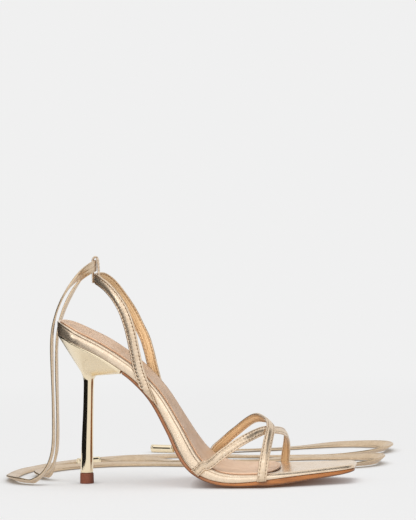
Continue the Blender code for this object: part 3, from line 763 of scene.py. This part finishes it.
last = [  # x, z, half-widths on the lateral and medial side, footbed and outsole thickness
    (-18.3, 116.4, 24.5, 24.5, 9.4, 1.3), (-10.0, 113.6, 24.5, 24.5, 8.9, 1.3),
    (0.6, 108.2, 24.5, 24.5, 8.4, 1.3), (15.0, 100.9, 25.0, 24.5, 8.0, 1.3),
    (29.0, 91.9, 25.0, 22.5, 7.7, 1.6), (42.7, 81.0, 24.0, 20.0, 7.3, 1.9),
    (56.5, 65.6, 24.0, 18.5, 7.2, 2.2), (70.3, 42.9, 26.0, 21.5, 8.5, 2.3),
    (77.4, 30.2, 29.0, 27.0, 9.6, 2.3), (83.6, 20.8, 32.5, 33.0, 9.3, 2.2),
    (90.5, 14.8, 34.8, 36.0, 8.0, 2.2), (99.0, 11.0, 36.4, 38.0, 6.6, 2.2),
    (109.3, 9.5, 37.3, 38.5, 5.7, 2.3), (121.0, 9.4, 37.0, 38.0, 4.9, 2.8),
    (134.0, 10.1, 35.0, 35.5, 4.3, 4.0), (147.0, 10.6, 30.5, 31.5, 3.6, 4.1),
    (158.0, 11.2, 26.5, 28.0, 3.3, 3.6), (169.6, 12.0, 22.0, 24.0, 3.3, 3.3),
    (181.0, 12.8, 17.5, 20.0, 3.3, 2.7), (191.0, 13.6, 13.0, 16.0, 3.0, 1.9),
]
sole = {
    "gap": 0.3,
    "seatRound": 23.0,  # length of the round back end
    "toeRound": 5.0,
    "dish": 0.8,
    "crown": 1.7,
    "lip": 35.0,  # x of the heel's front lip
    "upright": 32.0,  # over this length the sections lean from upright to square
    "dishFade": (16, 7),  # the dish grows over these lengths from the seat and the toe
    "rollSteps": 11,  # rows of the wrap's profile that roll over the edge
    "rollIn": 3.4,  # the roll's width and depth at the toe
    "rollDown": 2.2,
    "treadBelow": 1.2,  # nearer the floor than this, the tread stretches down to lie flat
    "treadFlat": 0.45,
    "treadStretch": 1.6,
}
bed = makeTable(last, [Vector((row[0], 0, row[1])) for row in last])


@lru_cache(maxsize=None)
def bedRow(s):
    return readTable(bed, s)


@lru_cache(maxsize=None)
def bedUp(s):
    a, b = bedRow(max(s - 0.5, 0.0)), bedRow(min(s + 0.5, bed["length"]))
    along = Vector((b[0] - a[0], 0, b[1] - a[1])).normalized()
    square = Vector((-along.z, 0, along.x))
    return Vector((0, 0, 1)).lerp(square, min(s / sole["upright"], 1.0)).normalized()


def bedPoint(s, y, depth):
    row = bedRow(s)
    return Vector((row[0], y, row[1])) - depth * bedUp(s)


@lru_cache(maxsize=None)
def stationAtX(x):
    low, high = 0.0, bed["length"]
    for _ in range(30):
        middle = (low + high) / 2
        if bedRow(middle)[0] < x:
            low = middle
        else:
            high = middle
    return (low + high) / 2


def roundedEnd(width, distance, length, amount):
    if distance >= length:
        return width
    return width - amount * (1 - sqrt(max(0.0, 1 - (1 - distance / length) ** 2)))


def halfWidths(s, inset=0.0):
    row = bedRow(s)
    widths = []
    for side in row[2:4]:
        seat = sole["seatRound"] - inset
        width = roundedEnd(side - inset, s - inset, seat, side - inset)
        toe = sole["toeRound"]
        widths.append(roundedEnd(width, bed["length"] - inset - s, toe, toe))
    return widths


def addPlate(name, plate, materials):
    # A sheet in the footbed's outline. Its profile goes from the top, over the edge, and under:
    # (inset, part of the thickness, added depth, material of the strip that follows, seam: dirt
    # and painted shade)
    profile = plate["profile"]
    columns = plate["columns"]
    rows = len(plate["rows"]) - 1
    span = plate["end"] - plate["start"]

    def rolled(s):  # 1 where the toe has its rounder upper edge, with no groove
        return smoothStep(*plate["toeRoll"], s) if plate["toeRoll"] else 0.0

    def spot(j, k, n, dish=None):
        inset, part, extra = profile[n][:3]
        turn = (n - 1) / sole["rollSteps"] * 90 if n else 0  # degrees round the edge
        s = plate["start"] + inset + (span - 2 * inset) * plate["rows"][j]
        toe = rolled(s)
        if toe and turn < 90:
            inset += (sole["rollIn"] * (1 - sin(radians(turn))) - inset) * toe
            extra += (sole["rollDown"] * (1 - cos(radians(turn))) - extra) * toe
            part *= 1 - toe
            s = plate["start"] + inset + (span - 2 * inset) * plate["rows"][j]
        widths = halfWidths(s, plate["border"] + inset)
        front = plate["frontRound"]
        if front:
            widths = [roundedEnd(w, plate["end"] - inset - s, front, w) for w in widths]
        f = k / columns
        level = part * plate["thickness"](s) + plate["below"](s) + extra
        if dish:
            seatFade, toeFade = sole["dishFade"]
            ends = smoothStep(0, seatFade, s) * smoothStep(0, toeFade, bed["length"] - s)
            level += dish(s) * (1 - (2 * f - 1) ** 2) * ends
        point = bedPoint(s, -widths[0] + (widths[0] + widths[1]) * f, level)
        if plate["tread"] and point.z < sole["treadBelow"]:
            point.z = max(0.0, (point.z - sole["treadFlat"]) * sole["treadStretch"])
        return point

    around = [(j, 0) for j in range(rows + 1)]
    around += [(rows, k) for k in range(1, columns)]
    around += [(j, columns) for j in range(rows, -1, -1)]
    around += [(0, k) for k in range(columns - 1, 0, -1)]
    verts, seams, faces, faceMaterials = [], [], [], []
    loops = []
    for n, (_, _, _, material, seam) in enumerate(profile):
        first = len(verts)
        if n in (0, len(profile) - 1):
            dish = plate["topDish"] if n == 0 else plate["bottomDish"]
            wide = columns + 1
            for j in range(rows + 1):
                verts += [spot(j, k, n, dish) * mm for k in range(wide)]
                seams += [seam] * wide
            for j in range(rows):
                for a in range(first + j * wide, first + j * wide + columns):
                    faces.append((a, a + 1, a + wide + 1, a + wide))
                    faceMaterials.append(material)
            loops.append([first + j * wide + k for j, k in around])
        else:
            loops.append(list(range(first, first + len(around))))
            for j, k in around:
                verts.append(spot(j, k, n) * mm)
                gone = rolled(plate["start"] + span * plate["rows"][j])
                seams.append(seam * (1 - gone * (n <= sole["rollSteps"])))
    for n, (upper, lower) in enumerate(zip(loops, loops[1:])):
        for i in range(len(around)):
            m = (i + 1) % len(around)
            faces.append((upper[i], upper[m], lower[m], lower[i]))
            faceMaterials.append(profile[n][3])
    return addMesh(name, verts, faces, materials, faceMaterials, seams)


def plateRows(seatSteps, seatPart, steps, toePart, toeSteps):
    # parts of the length, closer together where the outline turns at the seat and the toe
    rows = [seatPart * (1 - cos(pi / 2 * i / seatSteps)) for i in range(seatSteps)]
    rows += [seatPart + (toePart - seatPart) * i / steps for i in range(steps)]
    toe = [toePart + (1 - toePart) * sin(pi / 2 * i / toeSteps) for i in range(toeSteps + 1)]
    return rows + toe


plainPlate = {
    "start": 0.0,
    "end": bed["length"],
    "border": 0.0,
    "frontRound": 0,
    "topDish": None,
    "bottomDish": None,
    "tread": False,
    "toeRoll": None,  # from here to there the upper edge turns into the toe's roll
}
wrapLook = {
    **plainPlate,
    "rows": plateRows(22, sole["seatRound"] / bed["length"], 90, 0.985, 10),
    "columns": 22,
    "thickness": lambda s: bedRow(s)[4],
    "below": lambda s: 0.0,
    "topDish": lambda s: sole["dish"],
    "toeRoll": (stationAtX(96), stationAtX(136)),
    "profile": [
        (3.6, 0.0, 0.14, 0, 0.0), (2.0, 0.0, 0.10, 0, 0.0), (1.3, 0.0, 0.0, 0, 0.0),
        (0.75, 0.0, 0.05, 0, 0.0), (0.36, 0.0, 0.26, 0, 0.0), (0.12, 0.0, 0.6, 0, 0.0),
        (0.02, 0.08, 0.5, 0, 0.0), (0.04, 0.17, 0.42, 0, 0.05), (0.12, 0.17, 0.56, 0, 0.25),
        (0.24, 0.17, 0.66, 0, 0.55), (0.12, 0.17, 0.76, 0, 0.25), (0.02, 0.17, 0.92, 0, 0.0),
        (-0.08, 0.55, 0.35, 0, 0.0), (-0.02, 0.85, 0.1, 0, 0.1), (0.12, 1.0, -0.3, 0, 0.6),
        (0.4, 1.0, -0.06, 0, 0.6), (0.9, 1.0, 0.0, 0, 0.8), (3.2, 1.0, 0.0, 0, 0.5),
    ],
}
place(addPlate("footbed_wrap", wrapLook, [tightLeather]), "footbed", "footbed")

sockStart, sockEnd, sockRound = 2.4, stationAtX(138.0), 11.0
sockSpan = sockEnd - sockStart
sockSeat = (sole["seatRound"] - sockStart) / sockSpan
sockLook = {
    **plainPlate,
    "start": sockStart,
    "end": sockEnd,
    "border": sockStart,
    "frontRound": sockRound,
    "rows": plateRows(20, sockSeat, 76, 1 - sockRound / sockSpan, 16),
    "columns": 20,
    "thickness": lambda s: 0.8,
    "below": lambda s: -0.95,
    "topDish": lambda s: sole["dish"] - 0.1,
    "bottomDish": lambda s: sole["dish"],
    "profile": [
        (4.5, 0.0, 0.0, 0, 0.0), (2.2, 0.0, 0.0, 0, 0.0), (1.95, 0.0, 0.04, 0, 0.35),
        (1.8, 0.0, 0.16, 0, 0.9), (1.65, 0.0, 0.04, 0, 0.35), (1.4, 0.0, 0.0, 0, 0.0),
        (0.5, 0.0, 0.03, 0, 0.0), (0.2, 0.0, 0.10, 0, 0.2), (0.05, 0.0, 0.24, 1, 0.3),
        (0.0, 0.5, 0.05, 1, 0.3), (0.05, 1.0, 0.1, 1, 0.4), (3.0, 1.0, 0.12, 1, 0.0),
    ],
}
place(addPlate("sock_lining", sockLook, [sockLeather, cutEdge]), "sock", "sock")

outsoleLook = {
    **plainPlate,
    "start": stationAtX(sole["lip"]) + sole["gap"],
    "end": bed["length"] - 0.5,
    "border": 0.5,
    "rows": plateRows(0, 0.0, 90, 0.975, 10),
    "columns": 24,
    "thickness": lambda s: bedRow(s)[5],
    "below": lambda s: bedRow(s)[4] + 0.12,
    "bottomDish": lambda s: sole["crown"]
    * min(1.0, (bed["length"] - s) / 40, (s - stationAtX(sole["lip"])) / 20 + 0.3),
    "tread": True,
    "profile": [
        (2.0, 0.0, 0.0, 0, 0.3), (0.3, 0.0, 0.0, 0, 0.5), (0.1, 0.0, 0.1, 0, 0.35),
        (0.0, 0.0, 0.28, 0, 0.0), (-0.06, 0.5, 0.1, 0, 0.0), (-0.03, 0.7, 0.1, 0, 0.3),
        (0.0, 1.0, -0.32, 0, 1.0), (0.14, 1.0, -0.08, 0, 1.0), (0.36, 1.0, 0.06, 1, 0.5),
        (0.9, 1.0, 0.16, 1, 0.0),
        (2.5, 1.0, 0.18, 1, 0.0), (2.66, 1.0, 0.04, 1, 0.9), (2.82, 1.0, 0.18, 1, 0.0),
        (3.6, 1.0, 0.18, 1, 0.0),
    ],
}
place(addPlate("leather_outsole", outsoleLook, [soleEdge, tread]), "outsole", "outsole")
print("sole built")

heelLook = {
    "stem": [  # z, back, front, half-width
        (7.7, -4.5, 4.6, 4.2), (30.0, -3.1, 5.1, 3.9), (52.0, -1.6, 5.8, 3.6),
        (66.0, -0.9, 6.3, 3.5), (72.0, -0.7, 6.6, 3.5),
    ],
    "tip": [
        (0.0, -4.7, 4.8, 4.4), (0.12, -4.86, 4.96, 4.56), (0.45, -4.9, 5.0, 4.6),
        (3.0, -4.84, 4.96, 4.58), (6.9, -4.7, 4.9, 4.5), (7.2, -4.66, 4.86, 4.46),
        (7.38, -4.5, 4.7, 4.3),
    ],
    "turn": 4.6,  # the stem turns into the cup over this length on each side of the corner
    "seatRim": 0.6,  # upright rim of the cup at the back, and at the front lip
    "lipRim": 2.2,
    "rimIn": 0.5,  # inside the footbed's edge on the sides, and at the back
    "backIn": 0.4,
    "rimFoot": 0.3,  # below the footbed, the foot and the top of the rim
    "rimTop": 0.12,
    "side": 44,  # points on each side of a ring
    "front": 18,  # steps across the breast
    "soften": 3,  # rounds the corners of the breast
    "sideTurn": 0.74,  # part of a half circle that each side takes up
    "spacing": 2.0,
    "turnSteps": 16,
    "flareSteps": 30,
    "foot": [(0.9, 0.0), (0.06, 0.0), (0.012, 0.12)],  # part turned in, and rise
    "footRise": 0.35,
    "rim": [  # part of the way up the rim, and mm inward
        (0.12, 0.0), (0.5, 0.0), (0.88, 0.02), (0.97, 0.08), (1.0, 0.25), (1.0, 3.0),
    ],
}


def eased(ring, turns):  # rounds the corners of a closed ring
    for _ in range(turns):
        count = len(ring)
        ring = [
            ring[i] * 0.5 + (ring[i - 1] + ring[(i + 1) % count]) * 0.25 for i in range(count)
        ]
    return ring


def stemRing(level, look):
    side, front = look["side"], look["front"]
    z, back, breast, half = level
    centre, reach = (back + breast) / 2, (breast - back) / 2
    ring = []
    for i in range(side + 1):
        angle = pi - pi * look["sideTurn"] * i / side
        ring.append((centre + reach * cos(angle), -half * sin(angle)))
    cornerX, cornerY = ring[-1]
    for i in range(1, front):
        y = cornerY - 2 * cornerY * i / front
        ring.append((cornerX + (breast - cornerX) * (1 - (y / cornerY) ** 2), y))
    ring += [(x, -y) for x, y in reversed(ring[1 : side + 1])]
    return eased([Vector((x, y, z)) for x, y in ring], look["soften"])


def cupRing(look, rim, added):
    side, front = look["side"], look["front"]
    lip = stationAtX(sole["lip"])
    stations = [lip * (1 - cos(pi / 2 * (i + 0.25) / side)) for i in range(side)] + [lip]
    stations[0] = look["backIn"]

    def spot(s, y):
        depth = look["seatRim"] + (look["lipRim"] - look["seatRim"]) * (s / lip) ** 2
        return bedPoint(s, y, bedRow(s)[4] + depth * rim + added)

    lateral = [spot(s, look["rimIn"] - halfWidths(s)[0]) for s in stations[1:]]
    medial = [spot(s, halfWidths(s)[1] - look["rimIn"]) for s in stations[1:]]
    middle = [lateral[-1].lerp(medial[-1], i / front) for i in range(1, front)]
    return eased([spot(stations[0], 0)] + lateral + middle + medial[::-1], look["soften"])


def addHeel(look):
    table = makeTable(look["stem"], [Vector((0, 0, row[0])) for row in look["stem"]])
    rings = []
    for n, d in enumerate(evenSteps(table["length"], look["spacing"])):
        row = readTable(table, d)
        ring = stemRing(row, look)
        if n == 0:  # turned-in foot of the plating
            centre = Vector(((row[1] + row[2]) / 2, 0, row[0]))
            for part, rise in look["foot"]:
                rings.append([p.lerp(centre, part) + Vector((0, 0, rise)) for p in ring])
            ring = [p + Vector((0, 0, look["footRise"])) for p in ring]
        rings.append(ring)
    base = rings[-1]
    rim = cupRing(look, 1.0, look["rimFoot"])
    corners = [p + Vector((0, 0, look["turn"])) for p in base]
    ends = [c + (top - c).normalized() * look["turn"] for c, top in zip(corners, rim)]
    for i in range(1, look["turnSteps"] + 1):
        t = i / look["turnSteps"]
        ring = []
        for foot, corner, end in zip(base, corners, ends):
            ring.append(foot * (1 - t) ** 2 + corner * 2 * t * (1 - t) + end * t * t)
        rings.append(ring)
    for i in range(1, look["flareSteps"] + 1):
        rings.append([end.lerp(top, i / look["flareSteps"]) for end, top in zip(ends, rim)])
    upper = cupRing(look, 0.0, look["rimTop"])
    middle = sum(upper, Vector()) / len(upper)
    for t, inward in look["rim"]:
        ring = []
        for low, high in zip(rim, upper):
            ring.append(low.lerp(high, t) + (middle - high).normalized() * inward)
        rings.append(ring)
    place(addLoft("heel_plating", rings, plating), "heel", "heel")
    tip = addLoft("heel_tip_rubber", [stemRing(level, look) for level in look["tip"]], tipRubber)
    place(tip, "heel_tip", "heel_tip")


addHeel(heelLook)
print("heel built")

ridge = [  # x, and height of the straps' ridge
    (80, 86), (98, 70), (107, 62), (117, 54.5), (125, 48.3), (131, 44.5), (139, 38.3), (150, 30),
]
ridgeLine = makeTable(ridge, [Vector((x, 0, 0)) for x, z in ridge])
toeStrap = {
    "width": 6.8,
    "thickness": 1.8,
    "puff": 0.32,
    "pucker": 0.07,  # pull of each stitch
    "smoothFrom": None,  # mm along, where the puckers fade
    "stitches": {},
    "stitchInset": 1.25,
    "border": 0.7,  # foil turned in round the lining
    "upper": [  # x, turn over the foot in degrees, drop, lift and tilt
        (127.3, 0, 9, 0, 0), (127.6, 0, 4.5, 0, 0), (128.2, 0, 0.5, 0, 0), (129.6, 14, 0, 0, 0),
        (131.4, 32, 0, 0.3, 0), (132.4, 49, 0, 0.8, 0), (132.7, 64, 0, 0.8, 0),
        (131.2, 82, 0, -0.8, 8), (126.4, 102, 0, -2.6, 26), (118.2, 128, 0, -3.6, 34),
        (107.8, 150, 0, -3.2, 26), (97.8, 165, 0, -1.2, 12), (89.5, 176, 0, 0, 0),
        (87, 180, 1, 0, 0), (86.4, 180, 7, 0, 0), (86, 180, 12, 0, 0),
    ],
    "lower": [
        (86.6, 0, 12, 0, 0), (87, 0, 7, 0, 0), (87.8, 0, 1, 0, 0), (91, 2, 0, 0, 0),
        (99, 11, 0, 0, 0), (109.5, 23, 0, 0, 0), (119.8, 37, 0, -0.4, 0),
        (127.5, 52, 0, -0.95, 0), (134.4, 68, 0, -1.75, 0), (138.6, 84, 0, -2.0, 10),
        (140.9, 104, 0, -1.9, 24), (141.4, 126, 0, -0.8, 34), (140.4, 150, 0, 0, 25),
        (139.1, 170, 0, 0, 9), (138.3, 180, 0.5, 0, 0), (138.0, 180, 4, 0, 0),
        (137.7, 180, 8, 0, 0),
    ],
    "cuts": {"upper": [(127.4, -1), (86.2, 1)], "lower": [(86.8, -1), (138.2, 1)]},
    "cutBelow": 0.15,  # the straps go under the footbed this far below the rand
    "arch": 0.95,  # below 1 the foot's arch is fuller at its sides
}


@lru_cache(maxsize=None)
def footPoint(x, turn, drop):
    s = stationAtX(x)
    row = bedRow(s)
    off = sole["gap"] + toeStrap["thickness"] / 2
    lateral, medial = halfWidths(s)
    turn = min(max(turn, 0.0), 180.0)
    angle = radians(turn)
    y = -cos(angle) * ((lateral if turn < 90 else medial) + off)
    rise = readTable(ridgeLine, x - ridge[0][0])[1] - row[1]
    return bedPoint(s, y, max(drop, 0.0)) + Vector((0, 0, rise * sin(angle) ** toeStrap["arch"]))


def footNormal(x, turn):
    turn = min(max(turn, 1.0), 179.0)
    over = footPoint(x, turn + 1, 0) - footPoint(x, turn - 1, 0)
    ahead = footPoint(x + 1, turn, 0) - footPoint(x - 1, turn, 0)
    return ahead.cross(over).normalized()


def toeRow(x, turn, drop, lift, tilt):
    out = footNormal(x, turn)
    return footPoint(x, turn, drop) + out * lift, out, radians(tilt)


def endPlane(x, side, below):  # along the lower edge of the rand
    s = stationAtX(x)
    widths = halfWidths(s)
    y = -widths[0] if side < 0 else widths[1]
    return bedPoint(s, y, bedRow(s)[4] + below), -bedUp(s)


def trimEnds(obj, planes, reach=22.0):
    work = bmesh.new()
    work.from_mesh(obj.data)
    for point, normal in planes:
        near = [v for v in work.verts if (v.co / mm - point).length < reach]
        chosen = set(near)
        edges = [e for e in work.edges if e.verts[0] in chosen and e.verts[1] in chosen]
        kept = set(edges)
        faces = [f for f in work.faces if all(e in kept for e in f.edges)]
        bmesh.ops.bisect_plane(
            work,
            geom=near + edges + faces,
            dist=meshLook["cut"],
            plane_co=point * mm,
            plane_no=normal,
            clear_outer=True,
        )
        bmesh.ops.holes_fill(work, edges=[e for e in work.edges if e.is_boundary])
    finishMesh(work, obj.data)


def shownRange(frames, planes, margin=1.6, reach=20):  # what the end planes leave of a strap
    shown = []
    for centre, _, _, _, distance in frames:
        beyond = any(
            (centre - point).length < reach and (centre - point).dot(normal) > -margin
            for point, normal in planes
        )
        if not beyond:
            shown.append(distance)
    return shown[0], shown[-1]


sewing = {
    "puffVary": 0.25,  # uneven padding, and how quickly it changes along the strap
    "puffScale": 0.11,
    "endPuff": 0.35,  # padding left at the pressed ends, which fade over endRise
    "endRise": 5.0,
    # painted shade at the strap ends, where they press on the rand
    "endShade": 0.5,
    "shadeReach": 1.2,
    "smoothed": 0.75,  # part of the pucker that smoothFrom takes away
    "outerRow": 0.35,  # levels of the stitch rows, as parts of the thickness
    "liningRow": 0.41,
    "proud": 0.03,
}


def addSewnStrap(name, slotName, frames, look, planes):
    start, end = shownRange(frames, planes)
    sewn = {**stitches, **look["stitches"]}
    count = max(1, round((end - start) / sewn["pitch"]))
    pitch = (end - start) / count

    def section(i):
        distance = frames[i][4]
        phase = cos(2 * pi * ((distance - start) / pitch - 0.5))
        pucker = look["pucker"] * phase
        if look["smoothFrom"]:
            pucker *= 1 - sewing["smoothed"] * smoothStep(*look["smoothFrom"], distance - start)
        uneven = noise.noise(Vector((distance * sewing["puffScale"], start, 2.0)))
        puff = look["puff"] * (1 + sewing["puffVary"] * uneven)
        ends = smoothStep(0.0, sewing["endRise"], distance - start + 1.5)
        ends *= smoothStep(0.0, sewing["endRise"], end + 1.5 - distance)
        flat = sewing["endPuff"]
        ring = paddedSection(look, puff * (flat + (1 - flat) * ends), pucker)
        # the ends of the strap are darkened where they press on the rand: painted shade
        reach = sewing["shadeReach"]
        nearest = min(distance - start, end - distance)
        soilAndShade = sewing["endShade"] * (1 - smoothStep(-reach, reach, nearest))
        return [(u, v, m, min(1.0, seam + soilAndShade)) for u, v, m, seam in ring]

    strap = addStrap(name, frames, section, [goldLeather, strapLining])
    trimEnds(strap, planes)
    runs = []
    row = look["width"] / 2 - look["stitchInset"]
    outer = look["thickness"] * sewing["outerRow"] + sewing["proud"]
    lining = -look["thickness"] * sewing["liningRow"] - sewing["proud"]
    for across in (-row, row):
        runs.append((frames, across, outer, start, end))
        runs.append((frames, across, lining, start, end))
    rows = addStitches(name + "_stitches", runs, sewn)
    place(rows, slotName)
    return place(strap, slotName)


for part in ("upper", "lower"):
    planes = [endPlane(x, side, toeStrap["cutBelow"]) for x, side in toeStrap["cuts"][part]]
    bends = toeStrap[part]
    frames = routeFrames(bends, [footPoint(*row[:3]) for row in bends], toeRow)
    strap = addSewnStrap("toe_strap_" + part, "toe_straps", frames, toeStrap, planes)
    if part == "upper":
        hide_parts("toe_straps")
print("toe straps built")

ankleBand = {
    "width": 7.6,
    "thickness": 1.8,
    "puff": 0.34,
    "pucker": 0.13,
    "smoothFrom": (38, 62),
    "stitches": {"pitch": 2.6, "length": 1.6, "radius": 0.34},
    "stitchInset": 1.3,
    "border": 0.7,
    "route": [  # x, y, z and the way the outer face looks, in degrees
        (50.8, -25.6, 56, -90), (48, -25.8, 64.6, -90), (45.2, -26, 73, -90),
        (42.3, -26.4, 81.6, -90), (39.7, -27.6, 95.7, -92), (36.6, -28.6, 112, -95),
        (32.5, -28, 124.4, -102), (27.2, -25.6, 133.4, -112), (20.4, -20.8, 140.4, -128),
        (14.2, -13.6, 144.2, -147), (10.6, -6.2, 145.4, -166), (9.6, 0, 145.6, -180),
        (10.6, 6.2, 145.6, -194), (13.8, 12.8, 145, -213), (18.5, 19.3, 140.4, -230),
        (24.8, 24.4, 131, -245), (31.6, 26.6, 119.6, -255), (36.5, 26.4, 109.3, -262),
        (40.6, 25.2, 100.8, -266), (43.6, 23.5, 91.2, -269), (45.7, 21.9, 82.6, -270),
        (47.8, 21, 74, -270), (51.4, 20.4, 60, -270),
    ],
    "cuts": [(50.4, -1), (52.6, 1)],
    "cutBelow": 0.5,
}


def bandRow(x, y, z, facing):
    return Vector((x, y, z)), Vector((cos(radians(facing)), sin(radians(facing)), 0)), 0.0


planes = [endPlane(x, side, ankleBand["cutBelow"]) for x, side in ankleBand["cuts"]]
route = ankleBand["route"]
frames = routeFrames(route, [Vector(row[:3]) for row in route], bandRow)
band = addSewnStrap("ankle_strap", "ankle_band", frames, ankleBand, planes)
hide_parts("ankle_band")

keeper = {
    "width": 5.0,
    "thickness": 1.2,
    "puff": 0.1,
    "stitchInset": 0.8,
    "stitchEnds": 0.6,  # bare at each end
    "stitches": {"pitch": 2.3, "length": 1.6},
    "border": 0.5,
    "spacing": 0.4,
    "route": [  # x and z
        (7.7, 142.4), (7.7, 148.4), (7.6, 155.4), (8.1, 159.6), (9.6, 160.8),
        (11.1, 159.6), (11.7, 155.4), (11.9, 148.4), (11.9, 142.4),
    ],
}


def addKeeper(look):
    rows = look["route"]
    table = makeTable(rows, [Vector((x, 0, z)) for x, z in rows])
    steps = evenSteps(table["length"], look["spacing"])
    centres = [Vector((x, 0, z)) for x, z in (readTable(table, d) for d in steps)]
    outs = []
    for i in range(len(centres)):
        along = centres[min(i + 1, len(centres) - 1)] - centres[max(i - 1, 0)]
        outs.append(Vector((-along.z, 0, along.x)).normalized())
    frames = strapFrames(centres, outs, [0.0] * len(centres))

    ring = paddedSection(look, look["puff"])
    loop = addStrap("tie_keeper", frames, lambda i: ring, [goldLeather, strapLining])
    row = look["width"] / 2 - look["stitchInset"]
    start, end = look["stitchEnds"], frames[-1][4] - look["stitchEnds"]
    level = look["thickness"] * 0.36
    runs = [(frames, across, level, start, end) for across in (-row, row)]
    rows = addStitches("tie_keeper_stitches", runs, {**stitches, **look["stitches"]})
    place(loop, "tie_loop", "tie_loop")
    place(rows, "tie_loop")


addKeeper(keeper)
print("ankle band built")

studio = {
    "backdrop": 0.872,
    "dome": 0.86,
    "fill": 0.5,  # part of the dome's light that falls on matte surfaces
    "floorHalf": 9,  # m from the middle to each edge
    "floorGlow": 0.42,  # light that the floor gives itself, and the rest it reflects
    "floorColor": 0.589,
    "contact": 0.009,  # m over which the floor loses its glow next to the shoe, a painted contact shadow
    "middle": (0.09, 0.02, 0.0),
    "fade": (0.18, 0.75),  # m from the middle, over which the floor turns into the backdrop
    "cards": [  # centre, size, lean, turn about z and brightness of cards that gold reflects
        ((-0.24, 0.17, 0.2), (0.36, 0.4), 0.0, 50.0, 0.01),
        ((-0.166, -0.042, 0.1), (0.16, 0.2), 0.0, -82.0, 0.01),
        ((-0.0944, -0.1478, 0.062), (0.14, 0.124), 0.0, -38.0, 0.01),
        ((-0.66, -0.554, 0.225), (0.76, 0.35), 0.0, -52.0, 1.8),
        ((1.068, -0.637, 1.18), (0.77, 1.92), -47.0, 55.5, 0.01),
        ((0.894, 0.174, 1.3), (1.05, 1.03), -60.0, 105.0, 0.01),
        ((0.66, -1.855, 0.59), (2.66, 0.81), -17.0, 15.0, 1.35),
        ((-0.1, -0.3, 1.9), (1.9, 1.3), 90.0, 0.0, 1.15),
    ],
    "lights": [  # name, place, aim, width, height, watts, and whether it lights the floor
        ("overhead", (0.1, -0.25, 1.9), (0.09, 0.02, 0.06), 2.0, 1.4, 15.0, True),
        ("left", (-1.35, -1.6, 1.15), (0.05, 0.0, 0.08), 0.9, 0.9, 9.0, False),
        ("front", (-0.6, -2.3, 1.6), (0.09, 0.0, 0.0), 3.2, 2.0, 150.0, False),
    ],
}


def addStage(name, corners, material):
    mesh = bpy.data.meshes.new(name)
    mesh.from_pydata(corners, [], [(0, 1, 2, 3)])
    mesh.materials.append(material)
    obj = bpy.data.objects.new(name, mesh)
    bpy.context.scene.collection.objects.link(obj)
    return obj


def addWorld(look):
    world = bpy.data.worlds.new("soft studio")
    bpy.context.scene.world = world
    world.use_nodes = True
    tree = world.node_tree
    path = addNode(tree, "ShaderNodeLightPath").outputs
    glow = tree.nodes["Background"].inputs
    seen = spread(tree, path["Is Camera Ray"], 0.0, 1.0, look["dome"], look["backdrop"])
    cast = spread(tree, path["Is Diffuse Ray"], 0.0, 1.0, 1.0, look["fill"])
    tree.links.new(calc(tree, "MULTIPLY", seen, cast), glow["Strength"])
    glow["Color"].default_value = (1, 1, 1, 1)


def addFloor(look):
    settings = {"Roughness": 1.0, "Specular IOR Level": 0.0, "Emission Color": (1, 1, 1, 1)}
    material, tree, shader, where = newMaterial("studio floor", settings)
    links = {0: where, 1: look["middle"]}
    away = addNode(tree, "ShaderNodeVectorMath", links, operation="DISTANCE").outputs["Value"]
    fade = spread(tree, away, *look["fade"])
    # camera rays see the floor's glow cut by ambient occlusion next to the shoe: a painted
    # contact shadow
    openSky = addNode(tree, "ShaderNodeAmbientOcclusion", {1: look["contact"]}).outputs["AO"]
    direct = addNode(tree, "ShaderNodeLightPath").outputs["Is Camera Ray"]
    shaded = calc(tree, "MAXIMUM", openSky, calc(tree, "SUBTRACT", 1.0, direct))
    glowing = spread(tree, fade, 0.0, 1.0, look["floorGlow"], look["backdrop"])
    tree.links.new(calc(tree, "MULTIPLY", glowing, shaded), shader["Emission Strength"])
    matte = spread(tree, fade, 0.0, 1.0, look["floorColor"], 0.0)
    color = addNode(tree, "ShaderNodeCombineColor", {0: matte, 1: matte, 2: matte})
    tree.links.new(color.outputs[0], shader["Base Color"])
    n = look["floorHalf"]
    return addStage("studio_floor", [(-n, -n, 0), (n, -n, 0), (n, n, 0), (-n, n, 0)], material)


def addCard(name, centre, size, lean, turn, brightness):  # seen in reflections only
    settings = {
        "Base Color": (0, 0, 0, 1),
        "Specular IOR Level": 0.0,
        "Emission Color": (1, 1, 1, 1),
        "Emission Strength": brightness,
    }
    material = newMaterial("studio card", settings)[0]
    w, h = size[0] / 2, size[1] / 2
    card = addStage(name, [(-w, 0, -h), (w, 0, -h), (w, 0, h), (-w, 0, h)], material)
    card.location = centre
    card.rotation_euler = (radians(lean), 0, radians(turn))
    card.visible_camera = card.visible_shadow = card.visible_diffuse = False


def addLight(name, place, aim, width, height, watts):
    data = bpy.data.lights.new(name, "AREA")
    data.shape = "RECTANGLE"
    data.size, data.size_y = width, height
    data.energy = watts
    light = bpy.data.objects.new(name, data)
    light.location = place
    light.rotation_mode = "QUATERNION"
    light.rotation_quaternion = (Vector(aim) - Vector(place)).to_track_quat("-Z", "Y")
    light.visible_camera = light.visible_glossy = False
    bpy.context.scene.collection.objects.link(light)
    return light


def addStudio(look):
    bpy.context.scene.view_settings.view_transform = "Standard"
    addWorld(look)
    floor = addFloor(look)
    for n, card in enumerate(look["cards"]):
        addCard(f"studio_card_{n}", *card)
    shoeOnly = bpy.data.collections.new("all but the floor")
    shoeOnly.objects.link(floor)
    shoeOnly.collection_objects[0].light_linking.link_state = "EXCLUDE"
    for *settings, lightsFloor in look["lights"]:
        light = addLight(*settings)
        if not lightsFloor:
            light.light_linking.receiver_collection = shoeOnly


addStudio(studio)
print("studio lit")
